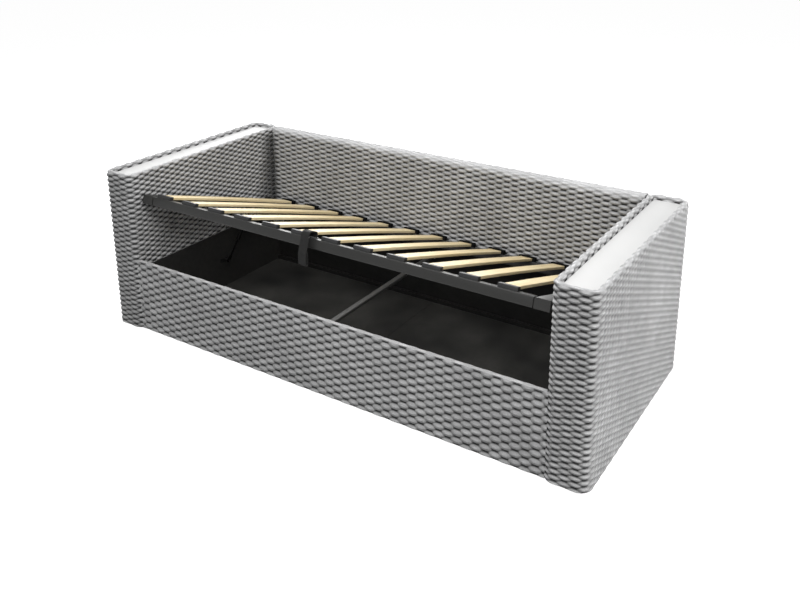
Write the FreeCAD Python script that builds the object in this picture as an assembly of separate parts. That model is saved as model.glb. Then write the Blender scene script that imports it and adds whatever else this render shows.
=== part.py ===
"""Storage bed with upholstered arms, a lifting slat base and a storage box, in millimetres.

+X runs along the bed, +Y to its back and +Z up. The origin is under the middle of the bed, on the floor.
The slat base is drawn closed and then turned about its pivot to the part-open pose in which it rests.
"""
import FreeCAD
import Part
import math
import os

from FreeCAD import Vector

# Outer form
LENGTH = 2370.0
DEPTH = 1035.0
HEIGHT = 760.0
GLIDE_HEIGHT = 5.0
COVER = 6.0

# Arms, with a white panel let into the top
ARM_WIDTH = 177.0
ARM_CORNER = 46.0
ARM_RIM = 29.0
ARM_RIM_ROUND = 13.0
ARM_PANEL_DROP = 20.0
ARM_PANEL_THICK = 19.0
ARM_PANEL_GAP = 0.5
ARM_PANEL_EDGE = 1.5
ARM_BOARD = 16.0
ARM_RIB = 16.0
RIM_BATTEN_TOP = 745.0
POCKET_CORNER = 20.0

# Back
BACK_FRONT_Y = 431.0
BACK_PAD = 34.0
BACK_BOARD = 18.0
BACK_PAD_BOTTOM = 330.0
BACK_TOP_PAD = 25.0
BACK_ROUND = 26.0
SIDE_GAP = 0.5

# Front rail
FRONT_FACE_Y = -505.0
FRONT_TOP = 346.0
FRONT_BOARD = 16.0
FRONT_ROUND = 4.0
FRONT_TUCK = 16.0

# Storage box
PANEL = 4.0
FLOOR_PANEL = 5.0
END_PANEL_TOP = 310.0
CLEAT = 18.0
FLOOR_JOINT = 1.0
BAR_WIDTH = 25.0
BAR_HEIGHT = 15.0
BAR_TOP = 270.0
BAR_WALL = 2.0
PLATE = 3.0
BAR_CHEEK = 30.0
BAR_PLATE_HALF = 34.0
BAR_SCREW_INSET = 9.0
CORNER_LEG = 40.0
CORNER_LOW = 200.0
CORNER_HIGH = 260.0
CORNER_SCREW_INSET = 12.0
CORNER_SCREW_RISE = 15.0

# Slat base, given in its closed pose
BASE_HALF_LENGTH = 994.0
BASE_FRONT_Y = -503.0
BASE_REAR_Y = 422.0
BASE_BOTTOM = 347.0
RAIL_HEIGHT = 40.0
LONG_RAIL_DEPTH = 40.0
END_RAIL_WIDTH = 60.0
TUBE_WALL = 2.0
SLAT_COUNT = 12
SLAT_PITCH = 154.8
SLAT_ROW_SHIFT = -26.0
SLAT_WIDTH = 57.0
SLAT_THICK = 12.0
SLAT_LIFT = 1.2
SLAT_CROWN = 3.0
SLAT_SEAT = 19.0
SLAT_END_ROUND = 25.0
SLAT_PLAY = 0.3
SLAT_HEADROOM = 0.7
HOLDER_WIDTH = 78.0
HOLDER_DEPTH = 24.0
HOLDER_HEIGHT = 15.6
HOLDER_INSET = 10.0
HOLDER_ROUND = 1.2

# Pivot of the slat base, and the turn from closed to the rest pose
PIVOT_Y = 360.0
PIVOT_Z = 367.0
REST_OPENING = 18.4
PIN_RADIUS = 6.0
PIN_PLAY = 0.05
BUSH_RADIUS = 9.0
BUSH_FLANGE_RADIUS = 13.0
BUSH_FLANGE = 3.0
BUSH_LIP = 1.0
PIN_HEAD_RADIUS = 10.0
PIN_HEAD = 4.0
PIVOT_PLATE = 4.0
PIVOT_PLATE_HALF_Y = 42.0
PIVOT_PLATE_HALF_Z = 20.0
PIVOT_SCREW_Y = 32.0
PIVOT_SCREW_Z = 10.0

# Gas struts: lower eye on the box, upper eye under the end rail (closed pose)
STRUT_X = 970.5
STRUT_LOW = (30.0, 158.0)
STRUT_HIGH = (210.0, 328.0)
EYE_RADIUS = 9.0
EYE_THICK = 9.0
STUD_RADIUS = 4.0
STUD_GAP = 1.0
STUD_HEAD_RADIUS = 7.0
STUD_HEAD = 2.5
ROD_RADIUS = 4.0
CYLINDER_RADIUS = 9.0
CYLINDER_LENGTH = 140.0
CYLINDER_WALL = 1.5
CYLINDER_CAP = 6.0
CYLINDER_NECK_RADIUS = 5.0
CYLINDER_EYE_DROP = 24.0
ROD_REACH = 168.0
ROD_NECK_RADIUS = 6.0
ROD_NECK_LENGTH = 26.0
STUD_PLATE_HALF = 26.0
STUD_SCREW = 18.0
HANGER_HALF = 15.0
HANGER_X = 988.0

# Pull strap
STRAP_X = -41.0
STRAP_WIDTH = 42.0
STRAP_THICK = 3.0
STRAP_FOOT_Y = -472.0
STRAP_RISE = 4.0
STRAP_ARCH = 14.0
STRAP_TOP = 30.0
STRAP_FOOT_PLATE = 2.0
STRAP_FOOT_DEPTH = 5.0
STRAP_LOOP_ARC = 7.0
STRAP_LOOP_DROP = 61.0
STRAP_TAB = 8.0
STRAP_HINGE_GAP = 0.4

# Small fasteners and glides
SCREW_HEAD_RADIUS = 5.0
SCREW_HEAD = 2.0
GLIDE_RADIUS = 20.0
ARM_GLIDE_Y = 430.0
FLOOR_GLIDE_X = 500.0
FLOOR_GLIDE_Y = 280.0

# How far a cutting shape passes the face that it cuts
OVERCUT = 2.0

# Worked out from the sizes above
ARM_INNER_X = LENGTH / 2 - ARM_WIDTH
ARM_CENTRE_X = LENGTH / 2 - ARM_WIDTH / 2
ARM_PANEL_TOP = HEIGHT - ARM_PANEL_DROP
STRAP_FRONT_Y = STRAP_FOOT_Y - 2 * STRAP_ARCH - STRAP_TOP
ARM_DECK = ARM_PANEL_TOP - ARM_PANEL_THICK
BACK_Y = DEPTH / 2
BACK_BOARD_Y = BACK_FRONT_Y + BACK_PAD
FRONT_INNER_Y = FRONT_FACE_Y + COVER + FRONT_BOARD
BOX_END_X = ARM_INNER_X - PANEL
BOX_REAR_Y = BACK_BOARD_Y - PANEL
FLOOR_TOP = GLIDE_HEIGHT + FLOOR_PANEL
RAIL_TOP = BASE_BOTTOM + RAIL_HEIGHT
END_RAIL_INNER_X = BASE_HALF_LENGTH - END_RAIL_WIDTH
X_AXIS = Vector(1, 0, 0)


def block(x0, x1, y0, y1, z0, z1):
    """Box between two corners."""
    return Part.makeBox(x1 - x0, y1 - y0, z1 - z0, Vector(x0, y0, z0))


def rod_along_x(radius, x0, x1, y, z):
    """Round bar along X."""
    return Part.makeCylinder(radius, x1 - x0, Vector(x0, y, z), X_AXIS)


def disc(radius, z0, z1, x, y):
    """Upright round bar."""
    return Part.makeCylinder(radius, z1 - z0, Vector(x, y, z0))


def rounded_prism(centre_x, width, depth, radius, z0, z1):
    """Upright prism on a rectangle with rounded corners, centred on centre_x."""
    shape = block(centre_x - width / 2, centre_x + width / 2, -depth / 2, depth / 2, z0, z1)
    upright = [e for e in shape.Edges if abs(e.tangentAt(e.FirstParameter).z) > 0.9]
    return shape.makeFillet(radius, upright)


def edges_at_height(shape, z):
    """Edges that lie wholly at one height."""
    box_of = [(e, e.BoundBox) for e in shape.Edges]
    return [e for e, b in box_of if abs(b.ZMin - z) < 0.01 and abs(b.ZMax - z) < 0.01]


def arm_prism(inset, z0, z1):
    """Arm's plan, drawn in by inset, as an upright prism on the right side."""
    return rounded_prism(ARM_CENTRE_X, ARM_WIDTH - 2 * inset, DEPTH - 2 * inset, ARM_CORNER - inset, z0, z1)


def arm_pocket(gap, z0, z1):
    """Space inside the arm's top rim, drawn in by gap."""
    width = ARM_WIDTH - 2 * (ARM_RIM + gap)
    depth = DEPTH - 2 * (ARM_RIM + gap)
    return rounded_prism(ARM_CENTRE_X, width, depth, POCKET_CORNER - gap, z0, z1)


def arm_carcass():
    """Board carcass of the right arm, open below, with two ribs."""
    shell = arm_prism(COVER, GLIDE_HEIGHT, ARM_DECK)
    hollow = arm_prism(COVER + ARM_BOARD, GLIDE_HEIGHT, ARM_DECK - ARM_BOARD)
    shape = shell.cut(hollow)
    half = ARM_WIDTH / 2 - COVER - ARM_BOARD
    foot = GLIDE_HEIGHT + ARM_BOARD
    feet = [-ARM_GLIDE_Y, 0.0, ARM_GLIDE_Y]
    pieces = []
    for y in feet:
        pieces.append(block(ARM_CENTRE_X - half, ARM_CENTRE_X + half,
                            y - 2 * GLIDE_RADIUS, y + 2 * GLIDE_RADIUS, GLIDE_HEIGHT, foot))
    for y in (-DEPTH / 6, DEPTH / 6):
        pieces.append(block(ARM_CENTRE_X - half, ARM_CENTRE_X + half, y - ARM_RIB / 2, y + ARM_RIB / 2,
                            GLIDE_HEIGHT, ARM_DECK - ARM_BOARD))
    return shape.fuse(pieces).removeSplitter()


def arm_rim_battens():
    """Ring of battens on the right arm's deck that stiffens the rim."""
    ring = arm_prism(COVER, ARM_DECK, RIM_BATTEN_TOP)
    ring = ring.cut(arm_pocket(-COVER, ARM_DECK, RIM_BATTEN_TOP))
    return ring


def arm_upholstery():
    """Padded cover of the right arm, rolled over the rim into the recess."""
    cover = arm_prism(0.0, GLIDE_HEIGHT, HEIGHT)
    cover = cover.makeFillet(ARM_RIM_ROUND, edges_at_height(cover, HEIGHT))
    cover = cover.cut(arm_pocket(0.0, ARM_DECK, HEIGHT))
    inner = [e for e in edges_at_height(cover, HEIGHT) if abs(e.CenterOfMass.y) < DEPTH / 2 - ARM_RIM + 1.0]
    inner = [e for e in inner if abs(e.CenterOfMass.x - ARM_CENTRE_X) < ARM_WIDTH / 2 - ARM_RIM + 1.0]
    cover = cover.makeFillet(ARM_RIM_ROUND, inner)
    cover = cover.cut(arm_prism(COVER, GLIDE_HEIGHT, ARM_DECK))
    return cover.cut(arm_rim_battens())


def arm_top_panel():
    """White panel in the right arm's recess, with a softened top edge."""
    panel = arm_pocket(ARM_PANEL_GAP, ARM_DECK, ARM_PANEL_TOP)
    return panel.makeFillet(ARM_PANEL_EDGE, edges_at_height(panel, ARM_PANEL_TOP))


def back_board():
    """Board that stiffens the back and closes the box behind."""
    x = ARM_INNER_X - SIDE_GAP
    return block(-x, x, BACK_BOARD_Y, BACK_BOARD_Y + BACK_BOARD, GLIDE_HEIGHT, HEIGHT - BACK_TOP_PAD)


def back_upholstery():
    """Padding and cover over the upper back, front, top and rear."""
    x = ARM_INNER_X - SIDE_GAP
    pad = block(-x, x, BACK_FRONT_Y, BACK_Y, BACK_PAD_BOTTOM, HEIGHT)
    top = [e for e in edges_at_height(pad, HEIGHT) if e.BoundBox.XLength > LENGTH / 2]
    pad = pad.makeFillet(BACK_ROUND, top)
    return pad.cut(back_board())


def rear_cover():
    """Padded cover of the box's rear, under the back's own cover."""
    x = ARM_INNER_X - SIDE_GAP
    return block(-x, x, BACK_BOARD_Y + BACK_BOARD, BACK_Y, GLIDE_HEIGHT, BACK_PAD_BOTTOM)


def front_rail_board():
    """Front board of the box."""
    x = ARM_INNER_X - SIDE_GAP
    return block(-x, x, FRONT_FACE_Y + COVER, FRONT_INNER_Y, GLIDE_HEIGHT, FRONT_TOP - COVER)


def front_rail_upholstery():
    """Padded cover over the front and top of the front board, run out to the arms' rounded corners."""
    x = ARM_INNER_X + FRONT_TUCK
    cover = block(-x, x, FRONT_FACE_Y, FRONT_INNER_Y, GLIDE_HEIGHT, FRONT_TOP)
    top = [e for e in edges_at_height(cover, FRONT_TOP) if e.BoundBox.XLength > LENGTH / 2]
    cover = cover.makeFillet(FRONT_ROUND, top).cut(front_rail_board())
    arm = arm_prism(-SIDE_GAP, 0.0, HEIGHT)
    return cover.cut(arm).cut(mirrored(arm))


def box_end_panel():
    """Black lining on the right arm's inner face."""
    return block(BOX_END_X, ARM_INNER_X, FRONT_INNER_Y, BOX_REAR_Y, FLOOR_TOP, END_PANEL_TOP)


def rear_box_panel():
    """Black lining of the box's rear wall."""
    x = ARM_INNER_X - SIDE_GAP
    return block(-x, x, BOX_REAR_Y, BACK_BOARD_Y, FLOOR_TOP, END_PANEL_TOP)


def floor_panel():
    """Right half of the box's floor."""
    x0 = FLOOR_JOINT / 2
    return block(x0, ARM_INNER_X - SIDE_GAP, FRONT_INNER_Y, BACK_BOARD_Y, GLIDE_HEIGHT, FLOOR_TOP)


def floor_cleats():
    """Battens that hold the floor panels to the front and rear walls."""
    front = block(-BOX_END_X, BOX_END_X, FRONT_INNER_Y, FRONT_INNER_Y + CLEAT, FLOOR_TOP, FLOOR_TOP + CLEAT)
    rear = block(-BOX_END_X, BOX_END_X, BOX_REAR_Y - CLEAT, BOX_REAR_Y, FLOOR_TOP, FLOOR_TOP + CLEAT)
    return [front, rear]


def centre_bar():
    """Steel tube across the middle of the box, front to back."""
    y0 = FRONT_INNER_Y + PLATE
    y1 = BOX_REAR_Y - PLATE
    half = BAR_WIDTH / 2
    tube = block(-half, half, y0, y1, BAR_TOP - BAR_HEIGHT, BAR_TOP)
    bore = block(-half + BAR_WALL, half - BAR_WALL, y0, y1,
                 BAR_TOP - BAR_HEIGHT + BAR_WALL, BAR_TOP - BAR_WALL)
    return tube.cut(bore)


def centre_bar_bracket(wall_y, inward):
    """Saddle that carries one end of the centre bar; inward is +1 or -1 along Y."""
    half = BAR_WIDTH / 2
    low = BAR_TOP - BAR_HEIGHT
    plate_y = sorted((wall_y, wall_y + inward * PLATE))
    cheek_y = sorted((wall_y, wall_y + inward * BAR_CHEEK))
    plate = block(-BAR_PLATE_HALF, BAR_PLATE_HALF, plate_y[0], plate_y[1], low - PLATE, BAR_TOP)
    cheek_a = block(half, half + PLATE, cheek_y[0], cheek_y[1], low - PLATE, BAR_TOP)
    cheek_b = block(-half - PLATE, -half, cheek_y[0], cheek_y[1], low - PLATE, BAR_TOP)
    shelf = block(-half, half, cheek_y[0], cheek_y[1], low - PLATE, low)
    return plate.fuse([cheek_a, cheek_b, shelf]).removeSplitter()


def corner_bracket(wall_y, inward):
    """Angle that joins the right arm to the front or rear wall, inside the box."""
    along = sorted((wall_y, wall_y + inward * CORNER_LEG))
    across = sorted((wall_y, wall_y + inward * PLATE))
    leg_a = block(BOX_END_X - PLATE, BOX_END_X, along[0], along[1], CORNER_LOW, CORNER_HIGH)
    leg_b = block(BOX_END_X - CORNER_LEG, BOX_END_X, across[0], across[1], CORNER_LOW, CORNER_HIGH)
    return leg_a.fuse(leg_b).removeSplitter()


def glides():
    """Plastic glides under the arms and the floor."""
    discs = []
    for side in (-1, 1):
        for y in (-ARM_GLIDE_Y, 0.0, ARM_GLIDE_Y):
            discs.append(disc(GLIDE_RADIUS, 0.0, GLIDE_HEIGHT, side * ARM_CENTRE_X, y))
        for y in (-FLOOR_GLIDE_Y, FLOOR_GLIDE_Y):
            discs.append(disc(GLIDE_RADIUS, 0.0, GLIDE_HEIGHT, side * FLOOR_GLIDE_X, y))
    return discs


def pivot_bracket():
    """Plate on the right arm's inner face that holds the pivot pin."""
    plate = block(ARM_INNER_X - PIVOT_PLATE, ARM_INNER_X, PIVOT_Y - PIVOT_PLATE_HALF_Y,
                  PIVOT_Y + PIVOT_PLATE_HALF_Y, PIVOT_Z - PIVOT_PLATE_HALF_Z, PIVOT_Z + PIVOT_PLATE_HALF_Z)
    corners = [e for e in plate.Edges if abs(e.tangentAt(e.FirstParameter).x) > 0.9]
    return plate.makeFillet(SCREW_HEAD_RADIUS * 2, corners)


def pivot_pin():
    """Right pivot pin, headed at its inner end."""
    inner = END_RAIL_INNER_X - PIN_HEAD
    shaft = rod_along_x(PIN_RADIUS, inner, ARM_INNER_X - PIVOT_PLATE, PIVOT_Y, PIVOT_Z)
    head = rod_along_x(PIN_HEAD_RADIUS, inner - PIN_HEAD, inner, PIVOT_Y, PIVOT_Z)
    return shaft.fuse(head).removeSplitter()


def pivot_bush():
    """Flanged bush in the right end rail."""
    inner = END_RAIL_INNER_X - BUSH_LIP
    rim = BASE_HALF_LENGTH + BUSH_FLANGE
    outer = rod_along_x(BUSH_RADIUS, inner, BASE_HALF_LENGTH, PIVOT_Y, PIVOT_Z)
    flange = rod_along_x(BUSH_FLANGE_RADIUS, BASE_HALF_LENGTH, rim, PIVOT_Y, PIVOT_Z)
    bore = rod_along_x(PIN_RADIUS + PIN_PLAY, inner - OVERCUT, rim + OVERCUT, PIVOT_Y, PIVOT_Z)
    return outer.fuse(flange).removeSplitter().cut(bore)


def opened(shape):
    """Shape of the closed base turned to the rest pose."""
    turned = shape.copy()
    turned.rotate(Vector(0, PIVOT_Y, PIVOT_Z), X_AXIS, -REST_OPENING)
    return turned


def long_rail(y0):
    """Steel tube along X that carries the slat holders."""
    x = END_RAIL_INNER_X
    tube = block(-x, x, y0, y0 + LONG_RAIL_DEPTH, BASE_BOTTOM, RAIL_TOP)
    bore = block(-x, x, y0 + TUBE_WALL, y0 + LONG_RAIL_DEPTH - TUBE_WALL,
                 BASE_BOTTOM + TUBE_WALL, RAIL_TOP - TUBE_WALL)
    return tube.cut(bore)


def end_rail():
    """Right end rail: square tube front to back, bored for the pivot bush."""
    y0 = BASE_FRONT_Y + TUBE_WALL
    y1 = BASE_REAR_Y - TUBE_WALL
    tube = block(END_RAIL_INNER_X, BASE_HALF_LENGTH, y0, y1, BASE_BOTTOM, RAIL_TOP)
    bore = block(END_RAIL_INNER_X + TUBE_WALL, BASE_HALF_LENGTH - TUBE_WALL, y0, y1,
                 BASE_BOTTOM + TUBE_WALL, RAIL_TOP - TUBE_WALL)
    hole = rod_along_x(BUSH_RADIUS, END_RAIL_INNER_X - OVERCUT, BASE_HALF_LENGTH + OVERCUT, PIVOT_Y, PIVOT_Z)
    return tube.cut(bore).cut(hole)


def rail_end_caps():
    """Plates that close the ends of the right end rail."""
    x0, x1 = END_RAIL_INNER_X, BASE_HALF_LENGTH
    front = block(x0, x1, BASE_FRONT_Y, BASE_FRONT_Y + TUBE_WALL, BASE_BOTTOM, RAIL_TOP)
    rear = block(x0, x1, BASE_REAR_Y - TUBE_WALL, BASE_REAR_Y, BASE_BOTTOM, RAIL_TOP)
    return [front, rear]


def slat_x(index):
    """Centre of a slat along X, counted from the left."""
    return SLAT_ROW_SHIFT + (index - (SLAT_COUNT - 1) / 2) * SLAT_PITCH


def slat(index):
    """Beech slat with a slight crown and rounded ends, seated in its two holders."""
    y0 = BASE_FRONT_Y + HOLDER_INSET + HOLDER_DEPTH - SLAT_SEAT
    y1 = BASE_REAR_Y - HOLDER_INSET - HOLDER_DEPTH + SLAT_SEAT
    low = RAIL_TOP + SLAT_LIFT
    high = low + SLAT_THICK
    middle = (y0 + y1) / 2
    x0 = slat_x(index) - SLAT_WIDTH / 2
    under = Part.Arc(Vector(x0, y0, low), Vector(x0, middle, low + SLAT_CROWN), Vector(x0, y1, low))
    over = Part.Arc(Vector(x0, y1, high), Vector(x0, middle, high + SLAT_CROWN), Vector(x0, y0, high))
    edges = [under.toShape(), Part.makeLine(Vector(x0, y1, low), Vector(x0, y1, high)),
             over.toShape(), Part.makeLine(Vector(x0, y0, high), Vector(x0, y0, low))]
    strip = Part.Face(Part.Wire(edges)).extrude(Vector(SLAT_WIDTH, 0, 0))
    upright = [e for e in strip.Edges if abs(e.tangentAt(e.FirstParameter).z) > 0.9]
    return strip.makeFillet(SLAT_END_ROUND, upright)


def slat_holder(index, outer_y, inward):
    """Moulded holder on a long rail; inward is the way its mouth faces along Y."""
    x = slat_x(index)
    start = outer_y + inward * HOLDER_INSET
    reach = sorted((start, start + inward * HOLDER_DEPTH))
    mouth = start + inward * HOLDER_DEPTH
    seat = sorted((mouth - inward * (SLAT_SEAT + SLAT_PLAY), mouth + inward * OVERCUT))
    body = block(x - HOLDER_WIDTH / 2, x + HOLDER_WIDTH / 2, reach[0], reach[1],
                 RAIL_TOP, RAIL_TOP + HOLDER_HEIGHT)
    body = body.makeFillet(HOLDER_ROUND, edges_at_height(body, RAIL_TOP + HOLDER_HEIGHT))
    half = SLAT_WIDTH / 2 + SLAT_PLAY
    pocket = block(x - half, x + half, seat[0], seat[1], RAIL_TOP + SLAT_LIFT - SLAT_PLAY,
                   RAIL_TOP + SLAT_LIFT + SLAT_THICK + SLAT_PLAY + SLAT_HEADROOM)
    return body.cut(pocket)


def strut_frame():
    """Rest-pose points of the right strut: lower eye, upper eye and unit axis."""
    low = Vector(STRUT_X, STRUT_LOW[0], STRUT_LOW[1])
    mark = Part.Vertex(Vector(STRUT_X, STRUT_HIGH[0], STRUT_HIGH[1]))
    high = opened(mark).Point
    axis = (high - low).normalize()
    return low, high, axis


def strut_stud():
    """Plate and stud on the right end panel for the strut's lower eye."""
    y, z = STRUT_LOW
    plate = block(BOX_END_X - PLATE, BOX_END_X, y - STUD_PLATE_HALF, y + STUD_PLATE_HALF,
                  z - EYE_RADIUS, z + EYE_RADIUS)
    inner = STRUT_X - EYE_THICK / 2 - STUD_GAP
    stud = rod_along_x(STUD_RADIUS, inner, BOX_END_X - PLATE, y, z)
    head = rod_along_x(STUD_HEAD_RADIUS, inner - STUD_HEAD, inner, y, z)
    collar = rod_along_x(STUD_HEAD_RADIUS, STRUT_X + EYE_THICK / 2 + STUD_GAP, BOX_END_X - PLATE, y, z)
    return plate.fuse([stud, head, collar]).removeSplitter()


def strut_hanger():
    """Plate under the right end rail with the stud beside the strut's upper eye (closed pose)."""
    y, z = STRUT_HIGH
    plate = block(HANGER_X - PLATE, HANGER_X, y - HANGER_HALF, y + HANGER_HALF, z - EYE_RADIUS, BASE_BOTTOM)
    stud = rod_along_x(STUD_HEAD_RADIUS, STRUT_X + EYE_THICK / 2 + STUD_GAP, HANGER_X - PLATE, y, z)
    return plate.fuse(stud).removeSplitter()


def strut_rod():
    """Right strut's rod, with the lower eye that turns on the stud."""
    low, high, axis = strut_frame()
    eye = rod_along_x(EYE_RADIUS, STRUT_X - EYE_THICK / 2, STRUT_X + EYE_THICK / 2, low.y, low.z)
    neck = Part.makeCylinder(ROD_NECK_RADIUS, ROD_NECK_LENGTH, low, axis)
    neck = neck.common(block(STRUT_X - EYE_THICK / 2, STRUT_X + EYE_THICK / 2, -DEPTH, DEPTH, 0.0, HEIGHT))
    rod = Part.makeCylinder(ROD_RADIUS, ROD_REACH, low, axis)
    bore = rod_along_x(STUD_RADIUS + PIN_PLAY, 0.0, LENGTH, low.y, low.z)
    return eye.fuse([neck, rod]).removeSplitter().cut(bore)


def strut_cylinder():
    """Right strut's cylinder, a closed tube with the upper eye, open below for the rod."""
    low, high, axis = strut_frame()
    top = high - axis * CYLINDER_EYE_DROP
    bottom = top - axis * CYLINDER_LENGTH
    body = Part.makeCylinder(CYLINDER_RADIUS, CYLINDER_LENGTH, bottom, axis)
    neck = Part.makeCylinder(CYLINDER_NECK_RADIUS, CYLINDER_EYE_DROP, top, axis)
    eye = rod_along_x(EYE_RADIUS, STRUT_X - EYE_THICK / 2, STRUT_X + EYE_THICK / 2, high.y, high.z)
    neck = neck.common(block(STRUT_X - EYE_THICK / 2, STRUT_X + EYE_THICK / 2, -DEPTH, DEPTH, 0.0, HEIGHT))
    shape = body.fuse([neck, eye]).removeSplitter()
    guide = Part.makeCylinder(ROD_RADIUS + PIN_PLAY, CYLINDER_CAP + 2 * OVERCUT,
                              bottom - axis * OVERCUT, axis)
    chamber = Part.makeCylinder(CYLINDER_RADIUS - CYLINDER_WALL, CYLINDER_LENGTH - 2 * CYLINDER_CAP,
                                bottom + axis * CYLINDER_CAP, axis)
    return shape.cut(guide).cut(chamber)


def strap_hinge():
    """Rest-pose point about which the hanging loop of the strap swings."""
    return opened(Part.Vertex(Vector(STRAP_X, STRAP_FRONT_Y, BASE_BOTTOM))).Point


def strap_band():
    """Webbing that stands on the front rail, arches over its edge and falls down its face (closed pose)."""
    x0 = STRAP_X - STRAP_WIDTH / 2
    half = STRAP_THICK / 2
    foot = RAIL_TOP + STRAP_FOOT_PLATE
    spring = RAIL_TOP + STRAP_RISE
    rear_leg = Part.makeBox(STRAP_WIDTH, STRAP_THICK, spring - foot, Vector(x0, STRAP_FOOT_Y - half, foot))
    low = BASE_BOTTOM + half + STRAP_HINGE_GAP
    front_leg = Part.makeBox(STRAP_WIDTH, STRAP_THICK, spring - low, Vector(x0, STRAP_FRONT_Y - half, low))
    turns = (STRAP_FRONT_Y + STRAP_ARCH, STRAP_FOOT_Y - STRAP_ARCH)

    def hump(radius):
        """Blank of the arch, flat between its two turns."""
        ends = [Part.makeCylinder(radius, STRAP_WIDTH, Vector(x0, y, spring), X_AXIS) for y in turns]
        middle = block(x0, x0 + STRAP_WIDTH, turns[0], turns[1], spring - radius, spring + radius)
        return middle.fuse(ends).removeSplitter()

    arch = hump(STRAP_ARCH + half).cut(hump(STRAP_ARCH - half))
    arch = arch.common(block(x0, x0 + STRAP_WIDTH, STRAP_FRONT_Y - STRAP_THICK, STRAP_FOOT_Y + STRAP_THICK,
                             spring, spring + STRAP_ARCH + STRAP_THICK))
    return rear_leg.fuse([front_leg, arch]).removeSplitter()


def strap_foot_plate():
    """Steel plate on the front rail that holds the foot of the strap."""
    x0 = STRAP_X - STRAP_WIDTH / 2
    near = STRAP_FOOT_Y - STRAP_THICK / 2
    plate = block(x0, x0 + STRAP_WIDTH, near, STRAP_FOOT_Y + STRAP_FOOT_DEPTH,
                  RAIL_TOP, RAIL_TOP + STRAP_FOOT_PLATE)
    return plate


def strap_loop():
    """Hanging loop of the strap, drawn straight down from its swing axis."""
    pin = strap_hinge()
    x0 = STRAP_X - STRAP_WIDTH / 2
    half = STRAP_THICK / 2
    top = pin.z - STRAP_TAB
    low = top - STRAP_LOOP_DROP
    centre_y = pin.y - STRAP_LOOP_ARC
    outer = STRAP_LOOP_ARC + half
    inner = STRAP_LOOP_ARC - half

    def stadium(radius):
        """Flat-sided ring blank of one radius."""
        ends = [Part.makeCylinder(radius, STRAP_WIDTH, Vector(x0, centre_y, z), X_AXIS) for z in (low, top)]
        middle = block(x0, x0 + STRAP_WIDTH, centre_y - radius, centre_y + radius, low, top)
        return middle.fuse(ends).removeSplitter()

    ring = stadium(outer).cut(stadium(inner))
    tab = block(x0, x0 + STRAP_WIDTH, pin.y - half, pin.y + half, top, pin.z)
    bead = rod_along_x(half, x0, x0 + STRAP_WIDTH, pin.y, pin.z)
    return ring.fuse([tab, bead]).removeSplitter()


def screw_heads():
    """Domed heads of the screws that hold the brackets, on the right side and at the middle."""
    heads = []
    face = ARM_INNER_X - PIVOT_PLATE
    for dy in (-PIVOT_SCREW_Y, PIVOT_SCREW_Y):
        for dz in (-PIVOT_SCREW_Z, PIVOT_SCREW_Z):
            heads.append(rod_along_x(SCREW_HEAD_RADIUS, face - SCREW_HEAD, face, PIVOT_Y + dy, PIVOT_Z + dz))
    face = BOX_END_X - PLATE
    for dy in (-STUD_SCREW, STUD_SCREW):
        heads.append(rod_along_x(SCREW_HEAD_RADIUS, face - SCREW_HEAD, face, STRUT_LOW[0] + dy, STRUT_LOW[1]))
    for wall_y, inward in ((FRONT_INNER_Y, 1), (BOX_REAR_Y, -1)):
        out_y = wall_y + inward * (CORNER_LEG - CORNER_SCREW_INSET)
        for z in (CORNER_LOW + CORNER_SCREW_RISE, CORNER_HIGH - CORNER_SCREW_RISE):
            heads.append(rod_along_x(SCREW_HEAD_RADIUS, face - SCREW_HEAD, face, out_y, z))
            start = Vector(BOX_END_X - CORNER_LEG + CORNER_SCREW_INSET, wall_y + inward * PLATE, z)
            heads.append(Part.makeCylinder(SCREW_HEAD_RADIUS, SCREW_HEAD, start, Vector(0, inward, 0)))
        start = Vector(BAR_PLATE_HALF - BAR_SCREW_INSET, wall_y + inward * PLATE, BAR_TOP - BAR_HEIGHT / 2)
        heads.append(Part.makeCylinder(SCREW_HEAD_RADIUS, SCREW_HEAD, start, Vector(0, inward, 0)))
    return heads


def mirrored(shape):
    """Left-hand copy of a right-hand shape."""
    return shape.mirror(Vector(0, 0, 0), X_AXIS)


def save(name, shapes):
    """Write one node, made of one solid or of several separate solids.

    Args:
        name: The node's name.
        shapes: A shape or a list of shapes.
    """
    pieces = shapes if isinstance(shapes, list) else [shapes]
    solids = [solid for piece in pieces for solid in piece.Solids]
    if not all(solid.isValid() for solid in solids):
        raise RuntimeError(name + " has an invalid solid")
    shape = solids[0] if len(solids) == 1 else Part.makeCompound(solids)
    shape.exportStep(os.path.join("parts", name + ".step"))
    print("%-24s %2d solids %10.1f cm3" % (name, len(solids), shape.Volume / 1000.0))


def save_pair(name, shape):
    """Write the right-hand node and its left-hand twin."""
    save("right_" + name, shape)
    save("left_" + name, mirrored(shape))


def save_both_sides(name, shapes):
    """Write one node that holds the right-hand solids and their left-hand twins."""
    save(name, shapes + [mirrored(shape) for shape in shapes])


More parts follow.
